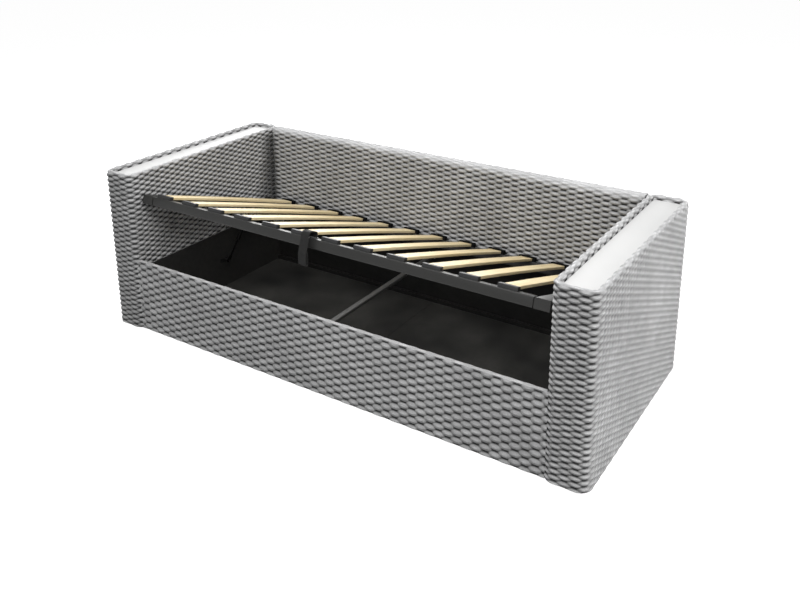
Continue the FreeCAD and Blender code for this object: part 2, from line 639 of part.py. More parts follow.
def main():
    """Build and write every node."""
    os.makedirs("parts", exist_ok=True)

    # Arms, back and front
    save_pair("arm_carcass", arm_carcass())
    save_pair("arm_rim_battens", arm_rim_battens())
    save_pair("arm_upholstery", arm_upholstery())
    save_pair("arm_top_panel", arm_top_panel())
    save("back_board", back_board())
    save("back_upholstery", back_upholstery())
    save("rear_cover", rear_cover())
    save("front_rail_board", front_rail_board())
    save("front_rail_upholstery", front_rail_upholstery())

    # Storage box
    save_pair("box_end_panel", box_end_panel())
    save("rear_box_panel", rear_box_panel())
    save_pair("floor_panel", floor_panel())
    save("floor_cleats", floor_cleats())
    save("centre_bar", centre_bar())
    save("centre_bar_brackets", [centre_bar_bracket(FRONT_INNER_Y, 1), centre_bar_bracket(BOX_REAR_Y, -1)])
    save_both_sides("corner_brackets", [corner_bracket(FRONT_INNER_Y, 1), corner_bracket(BOX_REAR_Y, -1)])
    save_pair("pivot_bracket", pivot_bracket())
    save_pair("pivot_pin", pivot_pin())
    save_pair("strut_stud", strut_stud())
    save_both_sides("screw_heads", screw_heads())
    save("glides", glides())

    # Slat base
    save("base_front_rail", opened(long_rail(BASE_FRONT_Y)))
    save("base_rear_rail", opened(long_rail(BASE_REAR_Y - LONG_RAIL_DEPTH)))
    save_pair("base_end_rail", opened(end_rail()))
    save_both_sides("rail_end_caps", [opened(cap) for cap in rail_end_caps()])
    save_both_sides("pivot_bushes", [opened(pivot_bush())])
    save_pair("strut_hanger", opened(strut_hanger()))
    for index in range(SLAT_COUNT):
        save("slat_%02d" % (index + 1), opened(slat(index)))
    save("front_slat_holders", [opened(slat_holder(i, BASE_FRONT_Y, 1)) for i in range(SLAT_COUNT)])
    save("rear_slat_holders", [opened(slat_holder(i, BASE_REAR_Y, -1)) for i in range(SLAT_COUNT)])

    # Gas struts and pull strap
    save_pair("strut_rod", strut_rod())
    save_pair("strut_cylinder", strut_cylinder())
    save("strap_band", opened(strap_band()))
    save("strap_foot_plate", opened(strap_foot_plate()))
    save("strap_loop", strap_loop())

    low, high, axis = strut_frame()
    pin = strap_hinge()
    length = (high - low).Length
    angle = math.degrees(math.atan2(axis.z, axis.y))
    print("strut at rest: length %.2f, slope %.2f degrees" % (length, angle))
    print("strut upper eye: y %.2f z %.2f" % (high.y, high.z))
    print("strap swing axis: y %.2f z %.2f" % (pin.y, pin.z))


main()
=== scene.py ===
"""Looks of the storage bed: woven covers, slat base, pull strap, box fittings and a plain studio.

Sizes are in millimetres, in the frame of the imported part: +X along the bed, +Y to its back and +Z up.
"""

import logging
import math
from abc import ABC, abstractmethod
from dataclasses import dataclass, field
from enum import Enum

import bmesh
import bpy
import numpy as np
from mathutils import Matrix, Vector

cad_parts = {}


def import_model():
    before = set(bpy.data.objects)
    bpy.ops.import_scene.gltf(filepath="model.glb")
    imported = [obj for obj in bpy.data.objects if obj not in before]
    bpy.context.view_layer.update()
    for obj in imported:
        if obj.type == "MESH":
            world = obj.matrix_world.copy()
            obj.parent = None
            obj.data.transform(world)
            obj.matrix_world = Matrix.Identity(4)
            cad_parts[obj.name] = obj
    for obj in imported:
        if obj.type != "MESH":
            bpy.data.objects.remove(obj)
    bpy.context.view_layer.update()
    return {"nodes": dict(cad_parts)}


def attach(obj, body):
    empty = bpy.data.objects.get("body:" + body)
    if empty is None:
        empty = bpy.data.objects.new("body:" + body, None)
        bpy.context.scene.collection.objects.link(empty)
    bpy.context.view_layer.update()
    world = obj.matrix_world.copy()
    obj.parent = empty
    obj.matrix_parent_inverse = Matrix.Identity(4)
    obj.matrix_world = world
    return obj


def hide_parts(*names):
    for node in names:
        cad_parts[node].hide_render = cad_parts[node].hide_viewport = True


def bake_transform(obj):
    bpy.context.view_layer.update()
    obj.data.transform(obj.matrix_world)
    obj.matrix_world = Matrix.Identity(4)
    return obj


Array = np.ndarray
Colour = tuple[float, float, float, float]
Edges = list[bmesh.types.BMEdge]
Form = bmesh.types.BMesh
Mesh = bpy.types.Mesh
Pair = tuple[float, float]
Point = tuple[float, float, float]
Socket = bpy.types.NodeSocket

LOG = logging.getLogger("storage_bed")
MM = 0.001
CLOTH_UV = "cloth"
NO_TURN: Point = (0.0, 0.0, 0.0)
# Metres within which the points of a seam are joined, and radians from which an edge is marked
SEAM_REACH = 0.00002
MARKED_ANGLE = 0.7
# Share of a face's normal from which it looks one way, and a length that counts as none
FACING = 0.9
NOTHING = 1e-6


class Place(Enum):
    """Place on the bed, with a sign along one axis as its value."""

    @property
    def word(self) -> str:
        """Name of the place as the nodes use it."""
        return self.name.lower()


class Side(Place):
    """Left and right end of the bed, as the sign of X."""

    LEFT = -1
    RIGHT = 1


class Row(Place):
    """Front and rear of the slat base, as the way along Y to its middle."""

    FRONT = 1
    REAR = -1


def grey(value: float) -> Colour:
    """Neutral colour of one linear value."""
    return (value, value, value, 1.0)


def shaded(colour: Colour, share: float) -> Colour:
    """Colour made darker or lighter by a share."""
    return tuple(share * part for part in colour[:3]) + (1.0,)


class NodeBoard:
    """Node tree with short calls to add and join its nodes."""

    def __init__(self, tree: bpy.types.NodeTree) -> None:
        """Clear the node tree of a material or a world."""
        self.tree = tree
        tree.nodes.clear()

    def add(self, kind: str, **values: object) -> bpy.types.Node:
        """Add a node.

        Args:
            kind: Node type.
            **values: Node properties, or default values of its inputs with underscores for spaces.

        Returns:
            The new node.
        """
        node = self.tree.nodes.new(kind)
        for key, value in values.items():
            if hasattr(node, key):
                setattr(node, key, value)
            else:
                node.inputs[key.replace("_", " ")].default_value = value
        return node

    def join(self, source: Socket, target: Socket) -> None:
        """Link two sockets."""
        self.tree.links.new(source, target)

    def show(self, output: str, lit: Socket, seen: Socket) -> None:
        """Output two shaders: one lights the scene, the other is seen, itself or in a mirror or glass.

        Args:
            output: Type of the output node.
            lit: Shader that lights the scene.
            seen: Shader that is seen.
        """
        path = self.add("ShaderNodeLightPath")
        share = path.outputs["Is Camera Ray"]
        for ray in ("Is Glossy Ray", "Is Transmission Ray"):
            either = self.add("ShaderNodeMath", operation="MAXIMUM")
            self.join(share, either.inputs[0])
            self.join(path.outputs[ray], either.inputs[1])
            share = either.outputs[0]
        mix = self.add("ShaderNodeMixShader")
        self.join(share, mix.inputs["Fac"])
        self.join(lit, mix.inputs[1])
        self.join(seen, mix.inputs[2])
        self.join(mix.outputs["Shader"], self.add(output).inputs["Surface"])


class NodeSheet(NodeBoard):
    """Node tree of one material, round a principled shader."""

    def __init__(self, name: str) -> None:
        """Start a material that holds the shader.

        Args:
            name: Name of the material.
        """
        self.material: bpy.types.Material = bpy.data.materials.new(name)
        self.material.use_nodes = True
        super().__init__(self.material.node_tree)
        self.shader = self.add("ShaderNodeBsdfPrincipled")
        output = self.add("ShaderNodeOutputMaterial")
        self.join(self.shader.outputs["BSDF"], output.inputs["Surface"])

    def set(self, **values: object) -> None:
        """Set the shader's own sockets, named with underscores for spaces."""
        for key, value in values.items():
            self.shader.inputs[key.replace("_", " ")].default_value = value

    def tint(self, colour: Socket) -> None:
        """Drive the shader's colour."""
        self.join(colour, self.shader.inputs["Base Color"])

    def gloss(self, value: Socket, low: float, high: float) -> None:
        """Drive the shader's roughness from low to high by a value from 0 to 1."""
        node = self.add("ShaderNodeMapRange", To_Min=low, To_Max=high)
        self.join(value, node.inputs["Value"])
        self.join(node.outputs["Result"], self.shader.inputs["Roughness"])

    def noise(self, vector: Socket, detail: float) -> Socket:
        """Grey noise of a number of octaves on a vector."""
        node = self.add("ShaderNodeTexNoise", Scale=1.0, Detail=detail)
        self.join(vector, node.inputs["Vector"])
        return node.outputs["Fac"]

    def grain(self, scale: Point, detail: float, turn: Point = NO_TURN) -> Socket:
        """Grey noise on object coordinates.

        Args:
            scale: Repeats per metre along each axis.
            detail: Octaves of the noise.
            turn: Turn of the pattern about X, Y and Z in radians.

        Returns:
            The noise value socket.
        """
        coordinates = self.add("ShaderNodeTexCoord")
        turned = self.add("ShaderNodeMapping", vector_type="TEXTURE", Rotation=turn)
        scaled = self.add("ShaderNodeMapping", Scale=scale)
        self.join(coordinates.outputs["Object"], turned.inputs["Vector"])
        self.join(turned.outputs["Vector"], scaled.inputs["Vector"])
        return self.noise(scaled.outputs["Vector"], detail)

    def ramp(self, value: Socket, *stops: tuple[float, Colour]) -> Socket:
        """Colour ramp over a value.

        Args:
            value: Socket that drives the ramp.
            *stops: Places from 0 to 1 with their colours.

        Returns:
            The colour socket.
        """
        node = self.add("ShaderNodeValToRGB")
        elements = node.color_ramp.elements
        while len(elements) < len(stops):
            elements.new(0.5)
        for element, (place, colour) in zip(elements, stops):
            element.position = place
            element.color = colour
        self.join(value, node.inputs["Fac"])
        return node.outputs["Color"]

    def shade(self, value: Socket, *stops: Pair) -> Socket:
        """Ramp of greys over a value, as places with their linear grey."""
        return self.ramp(value, *[(place, grey(level)) for place, level in stops])

    def multiply(self, product: Socket, *others: Socket) -> Socket:
        """Product of colours.

        Args:
            product: First colour.
            *others: Colours to multiply it by.

        Returns:
            The colour socket.
        """
        for other in others:
            node = self.add("ShaderNodeMix", data_type="RGBA", blend_type="MULTIPLY", Factor=1.0)
            self.join(product, node.inputs[6])
            self.join(other, node.inputs[7])
            product = node.outputs[2]
        return product

    def bump(self, height: Socket, strength: float, distance: float, under: Socket | None = None) -> Socket:
        """Drive the shader's normal by a height.

        Args:
            height: Height socket.
            strength: Bump strength.
            distance: Height of the bumps in metres.
            under: Normal of coarser bumps that lie under these.

        Returns:
            The new normal.
        """
        node = self.add("ShaderNodeBump", Strength=strength, Distance=distance)
        self.join(height, node.inputs["Height"])
        if under is not None:
            self.join(under, node.inputs["Normal"])
        self.join(node.outputs["Normal"], self.shader.inputs["Normal"])
        return node.outputs["Normal"]


@dataclass(frozen=True)
class Finish(ABC):
    """Finish of a surface, made once and shared by its pieces."""

    name: str

    def material(self) -> bpy.types.Material:
        """Material of this finish, built on first use."""
        known = bpy.data.materials.get(self.name)
        if known:
            return known
        sheet = NodeSheet(self.name)
        self.build(sheet)
        return sheet.material

    @abstractmethod
    def build(self, sheet: NodeSheet) -> None:
        """Lay the nodes of the finish."""


@dataclass(frozen=True)
class WovenFinish(Finish):
    """Grey upholstery cloth with puffed yarns: painted shade in the gaps between them and in the corners
    beside other covers, painted highlight on the crests.
    """

    # Painted shade: the gap and flank colours darken the low cloth between the puffs. Painted highlight: the
    # peak colour lightens the crests.
    gap_shade: Colour = grey(0.03)
    flank: Colour = grey(0.15)
    shoulder: Colour = grey(0.42)
    crest: Colour = (0.55, 0.55, 0.555, 1.0)
    peak_highlight: Colour = (0.72, 0.72, 0.725, 1.0)
    puff: float = 0.005
    fibre_relief: float = 0.0016
    # Painted shade: the darkest share of the corner shade beside other covers.
    deepest_corner_shade: float = 0.05
    fibre_scale: Point = (7.0, 26.0, 1.0)

    def build(self, sheet: NodeSheet) -> None:
        """Colour by the height of the weave, with painted shade low down and a painted highlight on top, and
        fibres along the yarn.
        """
        height, yarn, fold = [sheet.add("ShaderNodeAttribute", attribute_name=name).outputs["Fac"]
                              for name in ("weave", "yarn", "fold")]
        along = sheet.add("ShaderNodeMapping", Scale=self.fibre_scale)
        sheet.join(sheet.add("ShaderNodeUVMap", uv_map=CLOTH_UV).outputs["UV"], along.inputs["Vector"])
        fibre = sheet.noise(along.outputs["Vector"], 4.0)
        smudge = sheet.grain((4.5, 4.5, 3.0), 2.0)
        # Painted shade in the gaps and a painted highlight on the crests, by the weave value.
        weave = sheet.ramp(height, (0.0, self.gap_shade), (0.15, self.flank), (0.4, self.shoulder),
                           (0.9, self.crest), (1.0, self.peak_highlight))
        melange = sheet.shade(fibre, (0.3, 0.74), (0.7, 1.16))
        bobbin = sheet.shade(yarn, (0.0, 0.86), (1.0, 1.1))
        worn = sheet.shade(smudge, (0.3, 0.88), (0.62, 1.04))
        # Painted shade: the cloth is darkened in the corners beside other covers, by the fold attribute.
        corner_shade = sheet.shade(fold, (0.0, 1.0), (0.5, 0.45), (1.0, self.deepest_corner_shade))
        sheet.tint(sheet.multiply(weave, melange, bobbin, worn, corner_shade))
        sheet.bump(fibre, 0.55, self.fibre_relief, sheet.bump(height, 1.0, self.puff))
        sheet.set(Roughness=0.92, Sheen_Weight=0.4, Sheen_Roughness=0.4, Specular_IOR_Level=0.22)


@dataclass(frozen=True)
class EvenFinish(Finish):
    """Near even surface, by default powder coat: two tones in clouds, and a grain in gloss and relief."""

    colour: Colour = (0.0205, 0.0205, 0.0195, 1.0)
    roughness: float = 0.42
    shine: float = 0.3
    metal: float = 0.0
    cloud: float = 7.0
    cloud_detail: float = 4.0
    cloud_edges: Pair = (0.35, 0.75)
    tones: Pair = (1.0, 1.18)
    fine: float = 420.0
    fine_detail: float = 3.0
    gloss: Pair = (-0.06, 0.08)
    bump_strength: float = 0.16
    bump_height: float = 0.0003

    def build(self, sheet: NodeSheet) -> None:
        """Colour by the clouds, roughness and bumps by the grain."""
        cloud = sheet.grain((self.cloud,) * 3, self.cloud_detail)
        fine = sheet.grain((self.fine,) * 3, self.fine_detail)
        colours = [shaded(self.colour, tone) for tone in self.tones]
        sheet.tint(sheet.ramp(cloud, *zip(self.cloud_edges, colours)))
        sheet.gloss(fine, self.roughness + self.gloss[0], self.roughness + self.gloss[1])
        sheet.bump(fine, self.bump_strength, self.bump_height)
        sheet.set(Specular_IOR_Level=self.shine, Metallic=self.metal)


@dataclass(frozen=True)
class MouldedFinish(EvenFinish):
    """Moulded plastic with the spark-eroded grain of the mould."""

    colour: Colour = (0.034, 0.034, 0.035, 1.0)
    cloud: float = 600.0
    cloud_detail: float = 2.0
    cloud_edges: Pair = (0.35, 0.7)
    tones: Pair = (1.0, 1.25)
    fine: float = 600.0
    fine_detail: float = 2.0
    gloss: Pair = (-0.05, 0.08)
    bump_strength: float = 0.2


@dataclass(frozen=True)
class BoardFinish(Finish):
    """Fibre or chip board, plain or faced black."""

    dark: Colour
    light: Colour
    roughness: float = 0.62
    fleck: float = 55.0
    cloud: float = 3.2

    def build(self, sheet: NodeSheet) -> None:
        """Mottled board colour with fine flecks."""
        fleck = sheet.grain((self.fleck,) * 3, 5.0)
        cloud = sheet.grain((self.cloud,) * 3, 2.0)
        base = sheet.ramp(cloud, (0.3, self.dark), (0.72, self.light))
        sheet.tint(sheet.multiply(base, sheet.shade(fleck, (0.35, 0.82), (0.68, 1.12))))
        sheet.gloss(fleck, self.roughness - 0.08, self.roughness + 0.1)
        sheet.bump(fleck, 0.15, 0.0006)
        sheet.set(Specular_IOR_Level=0.3)


@dataclass(frozen=True)
class BeechFinish(Finish):
    """Pale bent beech with its grain along the slat, which slopes with the base."""

    pale: Colour = (0.95, 0.8, 0.51, 1.0)
    warm: Colour = (0.88, 0.7, 0.39, 1.0)
    line: Colour = (0.7, 0.51, 0.28, 1.0)
    slope: float = 0.0

    def build(self, sheet: NodeSheet) -> None:
        """Long soft bands, fine fibres and the short dark flecks of beech."""
        turn = (self.slope, 0.0, 0.0)
        band = sheet.grain((34.0, 2.2, 34.0), 3.0, turn)
        fibre = sheet.grain((420.0, 14.0, 420.0), 4.0, turn)
        fleck = sheet.grain((520.0, 70.0, 520.0), 2.0, turn)
        base = sheet.ramp(band, (0.32, self.warm), (0.62, self.pale))
        fine = sheet.shade(fibre, (0.3, 0.86), (0.62, 1.05))
        dots = sheet.ramp(fleck, (0.66, grey(1.0)), (0.74, self.line))
        sheet.tint(sheet.multiply(base, fine, dots))
        sheet.gloss(fibre, 0.4, 0.56)
        sheet.bump(fibre, 0.18, 0.0005)


@dataclass(frozen=True)
class WebbingFinish(Finish):
    """Flat woven strap, ribbed across its length, in the strap's own UV of millimetres."""

    dark: Colour = grey(0.016)
    light: Colour = (0.037, 0.037, 0.0355, 1.0)
    rib: float = 2.4
    lane: float = 5.2

    def build(self, sheet: NodeSheet) -> None:
        """Herringbone of ribs that change their lean from lane to lane."""
        uv = sheet.add("ShaderNodeUVMap", uv_map=CLOTH_UV).outputs["UV"]
        ribs = sheet.add("ShaderNodeTexWave", wave_type="BANDS", bands_direction="DIAGONAL",
                         Scale=1.0 / self.rib, Distortion=0.4)
        lanes = sheet.add("ShaderNodeTexWave", wave_type="BANDS", bands_direction="X", Scale=1.0 / self.lane)
        for wave in (ribs, lanes):
            sheet.join(uv, wave.inputs["Vector"])
        weave = sheet.multiply(ribs.outputs["Color"], lanes.outputs["Color"])
        sheet.tint(sheet.ramp(weave, (0.05, self.dark), (0.7, self.light)))
        sheet.bump(weave, 0.5, 0.0008)
        sheet.set(Roughness=0.78, Sheen_Weight=0.04, Specular_IOR_Level=0.15)


FABRIC = WovenFinish("grey_woven_cloth")
WHITE_PANEL = EvenFinish("white_satin_panel", (0.70, 0.70, 0.695, 1.0), 0.4, 0.06, cloud=5.0,
                         cloud_detail=2.0, cloud_edges=(0.35, 0.65), tones=(0.975, 1.0), fine=260.0,
                         gloss=(-0.05, 0.06), bump_strength=0.12, bump_height=0.0004)
RAW_BOARD = BoardFinish("raw_chip_board", (0.42, 0.32, 0.21, 1.0), (0.55, 0.43, 0.29, 1.0))
BLACK_BOARD = BoardFinish("black_faced_board", grey(0.01), (0.018, 0.0175, 0.0165, 1.0), roughness=0.5)
# Painted light: a lighter copy of the black faced board for the box's end panels.
LIGHTER_END_BOARD = BoardFinish("painted_light_end_board", grey(0.024), (0.036, 0.035, 0.033, 1.0), roughness=0.5)
# Painted light: a lighter copy of the black faced board for the box floor, which more light reaches.
LIT_FLOOR_BOARD = BoardFinish("painted_light_floor_board", grey(0.01), (0.056, 0.055, 0.051, 1.0), roughness=0.55)
RAIL_COAT = EvenFinish("dark_grey_coat")
BAR_COAT = EvenFinish("mid_grey_coat", (0.07, 0.069, 0.067, 1.0), 0.42)
ZINC = EvenFinish("zinc_plating", (0.56, 0.56, 0.57, 1.0), 0.34, 0.5, 1.0, cloud=90.0,
                  cloud_edges=(0.35, 0.65), tones=(0.78, 1.0), fine=90.0, fine_detail=4.0,
                  gloss=(-0.07, 0.1), bump_strength=0.1)
STUD_BLACK = EvenFinish("strut_black_coat", grey(0.013), 0.28)
ROD_BLACK = EvenFinish("strut_rod_black", grey(0.003), 0.6, 0.02)
CYLINDER_BLACK = EvenFinish("strut_cylinder_black", grey(0.005), 0.5, 0.05)
SCREW_BLACK = EvenFinish("black_screw_coat", grey(0.02), 0.45)
BLACK_PLASTIC = MouldedFinish("black_moulding")
HOLDER_PLASTIC = MouldedFinish("holder_moulding", (0.026, 0.026, 0.027, 1.0), 0.34)
# Painted shade: a darker, rougher copy of the holder moulding for the rear row, which the back shades.
SHADED_REAR_HOLDER_PLASTIC = MouldedFinish("painted_shade_rear_holder_moulding", grey(0.008), 0.7, 0.02)
WEBBING = WebbingFinish("dark_webbing")


@dataclass(frozen=True)
class BedSizes:
    """Main sizes of the bed that several of its sub-assemblies share."""

    length: float = 2370.0
    depth: float = 1035.0
    height: float = 760.0
    foot: float = 5.0
    cover: float = 6.0
    arm_width: float = 177.0
    arm_corner: float = 46.0
    back_y: float = 431.0
    side_gap: float = 0.5
    pivot_y: float = 360.0
    pivot_z: float = 367.0
    rest_opening: float = 18.4

    @property
    def arm_inner_x(self) -> float:
        """Inner face of the right arm."""
        return self.length / 2 - self.arm_width

    @property
    def span_half(self) -> float:
        """Half length of what stands between the arms."""
        return self.arm_inner_x - self.side_gap

    @property
    def opening(self) -> Matrix:
        """Turn of the closed slat base to the pose in which it rests, in metres."""
        pivot = Vector((0.0, self.pivot_y, self.pivot_z)) * MM
        turn = Matrix.Rotation(math.radians(-self.rest_opening), 4, "X")
        return Matrix.Translation(pivot) @ turn @ Matrix.Translation(-pivot)


SIZES = BedSizes()
BEECH = BeechFinish("pale_beech", slope=math.radians(-SIZES.rest_opening))


def add_piece(name: str, mesh: Mesh, finish: Finish, body: str, nodes: tuple[str, ...],
              sharp: float = 38.0) -> bpy.types.Object:
    """Put a finished mesh in the scene and tie it to the part.

    Args:
        name: Name of the piece.
        mesh: Its mesh, in metres in the part's frame.
        finish: Finish of its surface.
        body: Body that it rides on, or nothing for a piece left unattached.
        nodes: Nodes that it stands for.
        sharp: Angle in degrees from which an edge stays sharp.

    Returns:
        The new object.
    """
    mesh.shade_smooth()
    mesh.set_sharp_from_angle(angle=math.radians(sharp))
    mesh.materials.append(finish.material())
    piece = bpy.data.objects.new(name, mesh)
    bpy.context.scene.collection.objects.link(piece)
    if body:
        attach(piece, body)
    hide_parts(*nodes)
    LOG.info("%s: %d faces on %s", name, len(mesh.polygons), body or "two bodies")
    return piece


def to_mesh(form: Form, name: str) -> Mesh:
    """Make a mesh of a form.

    Args:
        form: The form, which is freed.
        name: Name of the mesh.

    Returns:
        The new mesh.
    """
    mesh = bpy.data.meshes.new(name)
    form.to_mesh(mesh)
    form.free()
    return mesh


def finish_mesh(form: Form, name: str, move: Matrix | None = None) -> Mesh:
    """Turn a form drawn in millimetres into a mesh in metres.

    Args:
        form: The form, which is freed.
        name: Name of the mesh.
        move: Placing in metres, made after the scaling.

    Returns:
        The new mesh.
    """
    bmesh.ops.scale(form, vec=(MM, MM, MM), verts=form.verts)
    if move is not None:
        bmesh.ops.transform(form, matrix=move, verts=form.verts)
    bmesh.ops.recalc_face_normals(form, faces=form.faces)
    return to_mesh(form, name)


def gather(whole: Form, part: Form) -> None:
    """Move one form into another."""
    mesh = to_mesh(part, "gathered")
    whole.from_mesh(mesh)
    bpy.data.meshes.remove(mesh)


def block(low: Point, high: Point) -> Form:
    """Draw a box.

    Args:
        low: Its lowest corner.
        high: Its highest corner.

    Returns:
        The box as a new form.
    """
    form = bmesh.new()
    bmesh.ops.create_cube(form, size=1.0)
    bmesh.ops.scale(form, vec=Vector(high) - Vector(low), verts=form.verts)
    bmesh.ops.translate(form, vec=(Vector(high) + Vector(low)) / 2, verts=form.verts)
    return form


def soften(form: Form, edges: Edges, radius: float, segments: int) -> None:
    """Round edges of a form to a radius, with a number of faces across the round."""
    bmesh.ops.bevel(form, geom=edges, offset=radius, offset_type="OFFSET", segments=segments,
                    profile=0.5, affect="EDGES", clamp_overlap=True, material=-1)


def sharp_edges(form: Form) -> Edges:
    """Edges of a form whose faces meet at a marked angle."""
    return [e for e in form.edges if len(e.link_faces) == 2 and e.calc_face_angle() > MARKED_ANGLE]


def edges_along(form: Form, axis: int, least: float) -> Edges:
    """Edges of a form that reach further than a length along an axis."""
    return [e for e in form.edges if abs(e.verts[0].co[axis] - e.verts[1].co[axis]) > least]


def faces_to(form: Form, way: float) -> list[bmesh.types.BMFace]:
    """Faces of a form that look along Y, forwards for a negative way."""
    return [f for f in form.faces if f.normal.y * way > FACING]


def unit_grid(name: str, steps_u: int, steps_v: int) -> tuple[Mesh, Array]:
    """Flat grid from 0 to 1 in both ways, with a UV map for cloth.

    Args:
        name: Name of the mesh.
        steps_u: Faces along the first way.
        steps_v: Faces along the second way.

    Returns:
        The mesh, and the place of each of its points.
    """
    form = bmesh.new()
    form.loops.layers.uv.new(CLOTH_UV)
    bmesh.ops.create_grid(form, x_segments=steps_u, y_segments=steps_v, size=0.5, calc_uvs=True)
    mesh = to_mesh(form, name)
    flat = np.zeros(len(mesh.vertices) * 3)
    mesh.vertices.foreach_get("co", flat)
    return mesh, flat.reshape(-1, 3)[:, :2] + 0.5


def scale_uv(mesh: Mesh, width: float, length: float) -> None:
    """Scale the cloth UV of a grid.

    Args:
        mesh: The grid.
        width: New width of the UV map.
        length: New length of the UV map.
    """
    layer = mesh.uv_layers[CLOTH_UV]
    flat = np.zeros(len(layer.uv) * 2, np.float32)
    layer.uv.foreach_get("vector", flat)
    scaled = flat.reshape(-1, 2) * np.array([width, length], np.float32)
    layer.uv.foreach_set("vector", scaled.ravel())


@dataclass(frozen=True)
class Bend:
    """Stretch of an outline: straight where it turns by nothing, otherwise an arc."""

    length: float
    turn: float = 0.0

    @classmethod
    def corner(cls, radius: float, turn: float) -> "Bend":
        """Arc of a radius that turns by an angle in degrees, to the left where positive."""
        return cls(radius * abs(math.radians(turn)), math.radians(turn))

    def headings(self, heading: float, run: Array) -> Array:
        """Heading at distances along the bend, from the heading at its start."""
        return heading + self.turn * run / self.length

    def points(self, start: Array, heading: float, run: Array) -> Array:
        """Points along the bend.

        Args:
            start: Start of the bend.
            heading: Heading there, in radians.
            run: Distances from the start.

        Returns:
            The points, one row each.
        """
        if self.turn == 0.0:
            return start + np.outer(run, (math.cos(heading), math.sin(heading)))
        angle = self.headings(heading, run)
        across = np.stack([np.sin(angle) - math.sin(heading), math.cos(heading) - np.cos(angle)], axis=1)
        return start + self.length / self.turn * across


@dataclass(frozen=True)
class Outline:
    """Smooth line in a plane, followed from its start."""

    start: Pair
    heading: float
    bends: tuple[Bend, ...]

    @property
    def length(self) -> float:
        """Length along the line."""
        return sum(bend.length for bend in self.bends)

    def trace(self, along: Array) -> tuple[Array, Array]:
        """Points of the line and its normals to the left.

        Args:
            along: Distances from the start.

        Returns:
            Points and unit normals, one row for each distance.
        """
        points = np.zeros((len(along), 2))
        normals = np.zeros((len(along), 2))
        here = np.array(self.start)
        heading = math.radians(self.heading)
        begun = 0.0
        for bend in self.bends:
            on = along >= begun - NOTHING
            run = np.clip(along[on] - begun, 0.0, bend.length)
            angle = bend.headings(heading, run)
            points[on] = bend.points(here, heading, run)
            normals[on] = np.stack([-np.sin(angle), np.cos(angle)], axis=1)
            here = bend.points(here, heading, np.array([bend.length]))[0]
            heading += bend.turn
            begun += bend.length
        return points, normals


@dataclass(frozen=True)
class Weave:
    """Puffed cells in staggered columns, drawn in at their ends, with deep gaps between them."""

    reach: float = 0.66
    half_height: float = 0.4
    end_power: float = 3.0
    side_power: float = 2.0
    crown: float = 0.85
    tone_steps: Point = (12.9898, 78.233, 43758.5453)

    def height(self, column: Array, row: Array) -> Array:
        """Height of the cloth.

        Args:
            column: Place across the columns, whole at the middle of one.
            row: Place across the rows.

        Returns:
            Heights from 0 in the gaps to 1 on a crest.
        """
        top = np.zeros(column.shape)
        for step in (-1.0, 0.0, 1.0):
            middle = np.round(column) + step
            lane = row - 0.5 * (middle % 2.0)
            across = np.abs(column - middle) / self.reach
            along = np.abs(lane - np.round(lane)) / self.half_height
            top = np.maximum(top, 1.0 - across ** self.end_power - along ** self.side_power)
        return top ** self.crown

    def tone(self, column: Array, row: Array) -> Array:
        """Steady tone from 0 to 1 for each yarn crossing, as cloth has from bobbin to bobbin."""
        by_column, by_row, scatter = self.tone_steps
        cell = np.round(column) * by_column + np.round(row * 2.0) * by_row
        return np.abs(np.sin(cell) * scatter) % 1.0


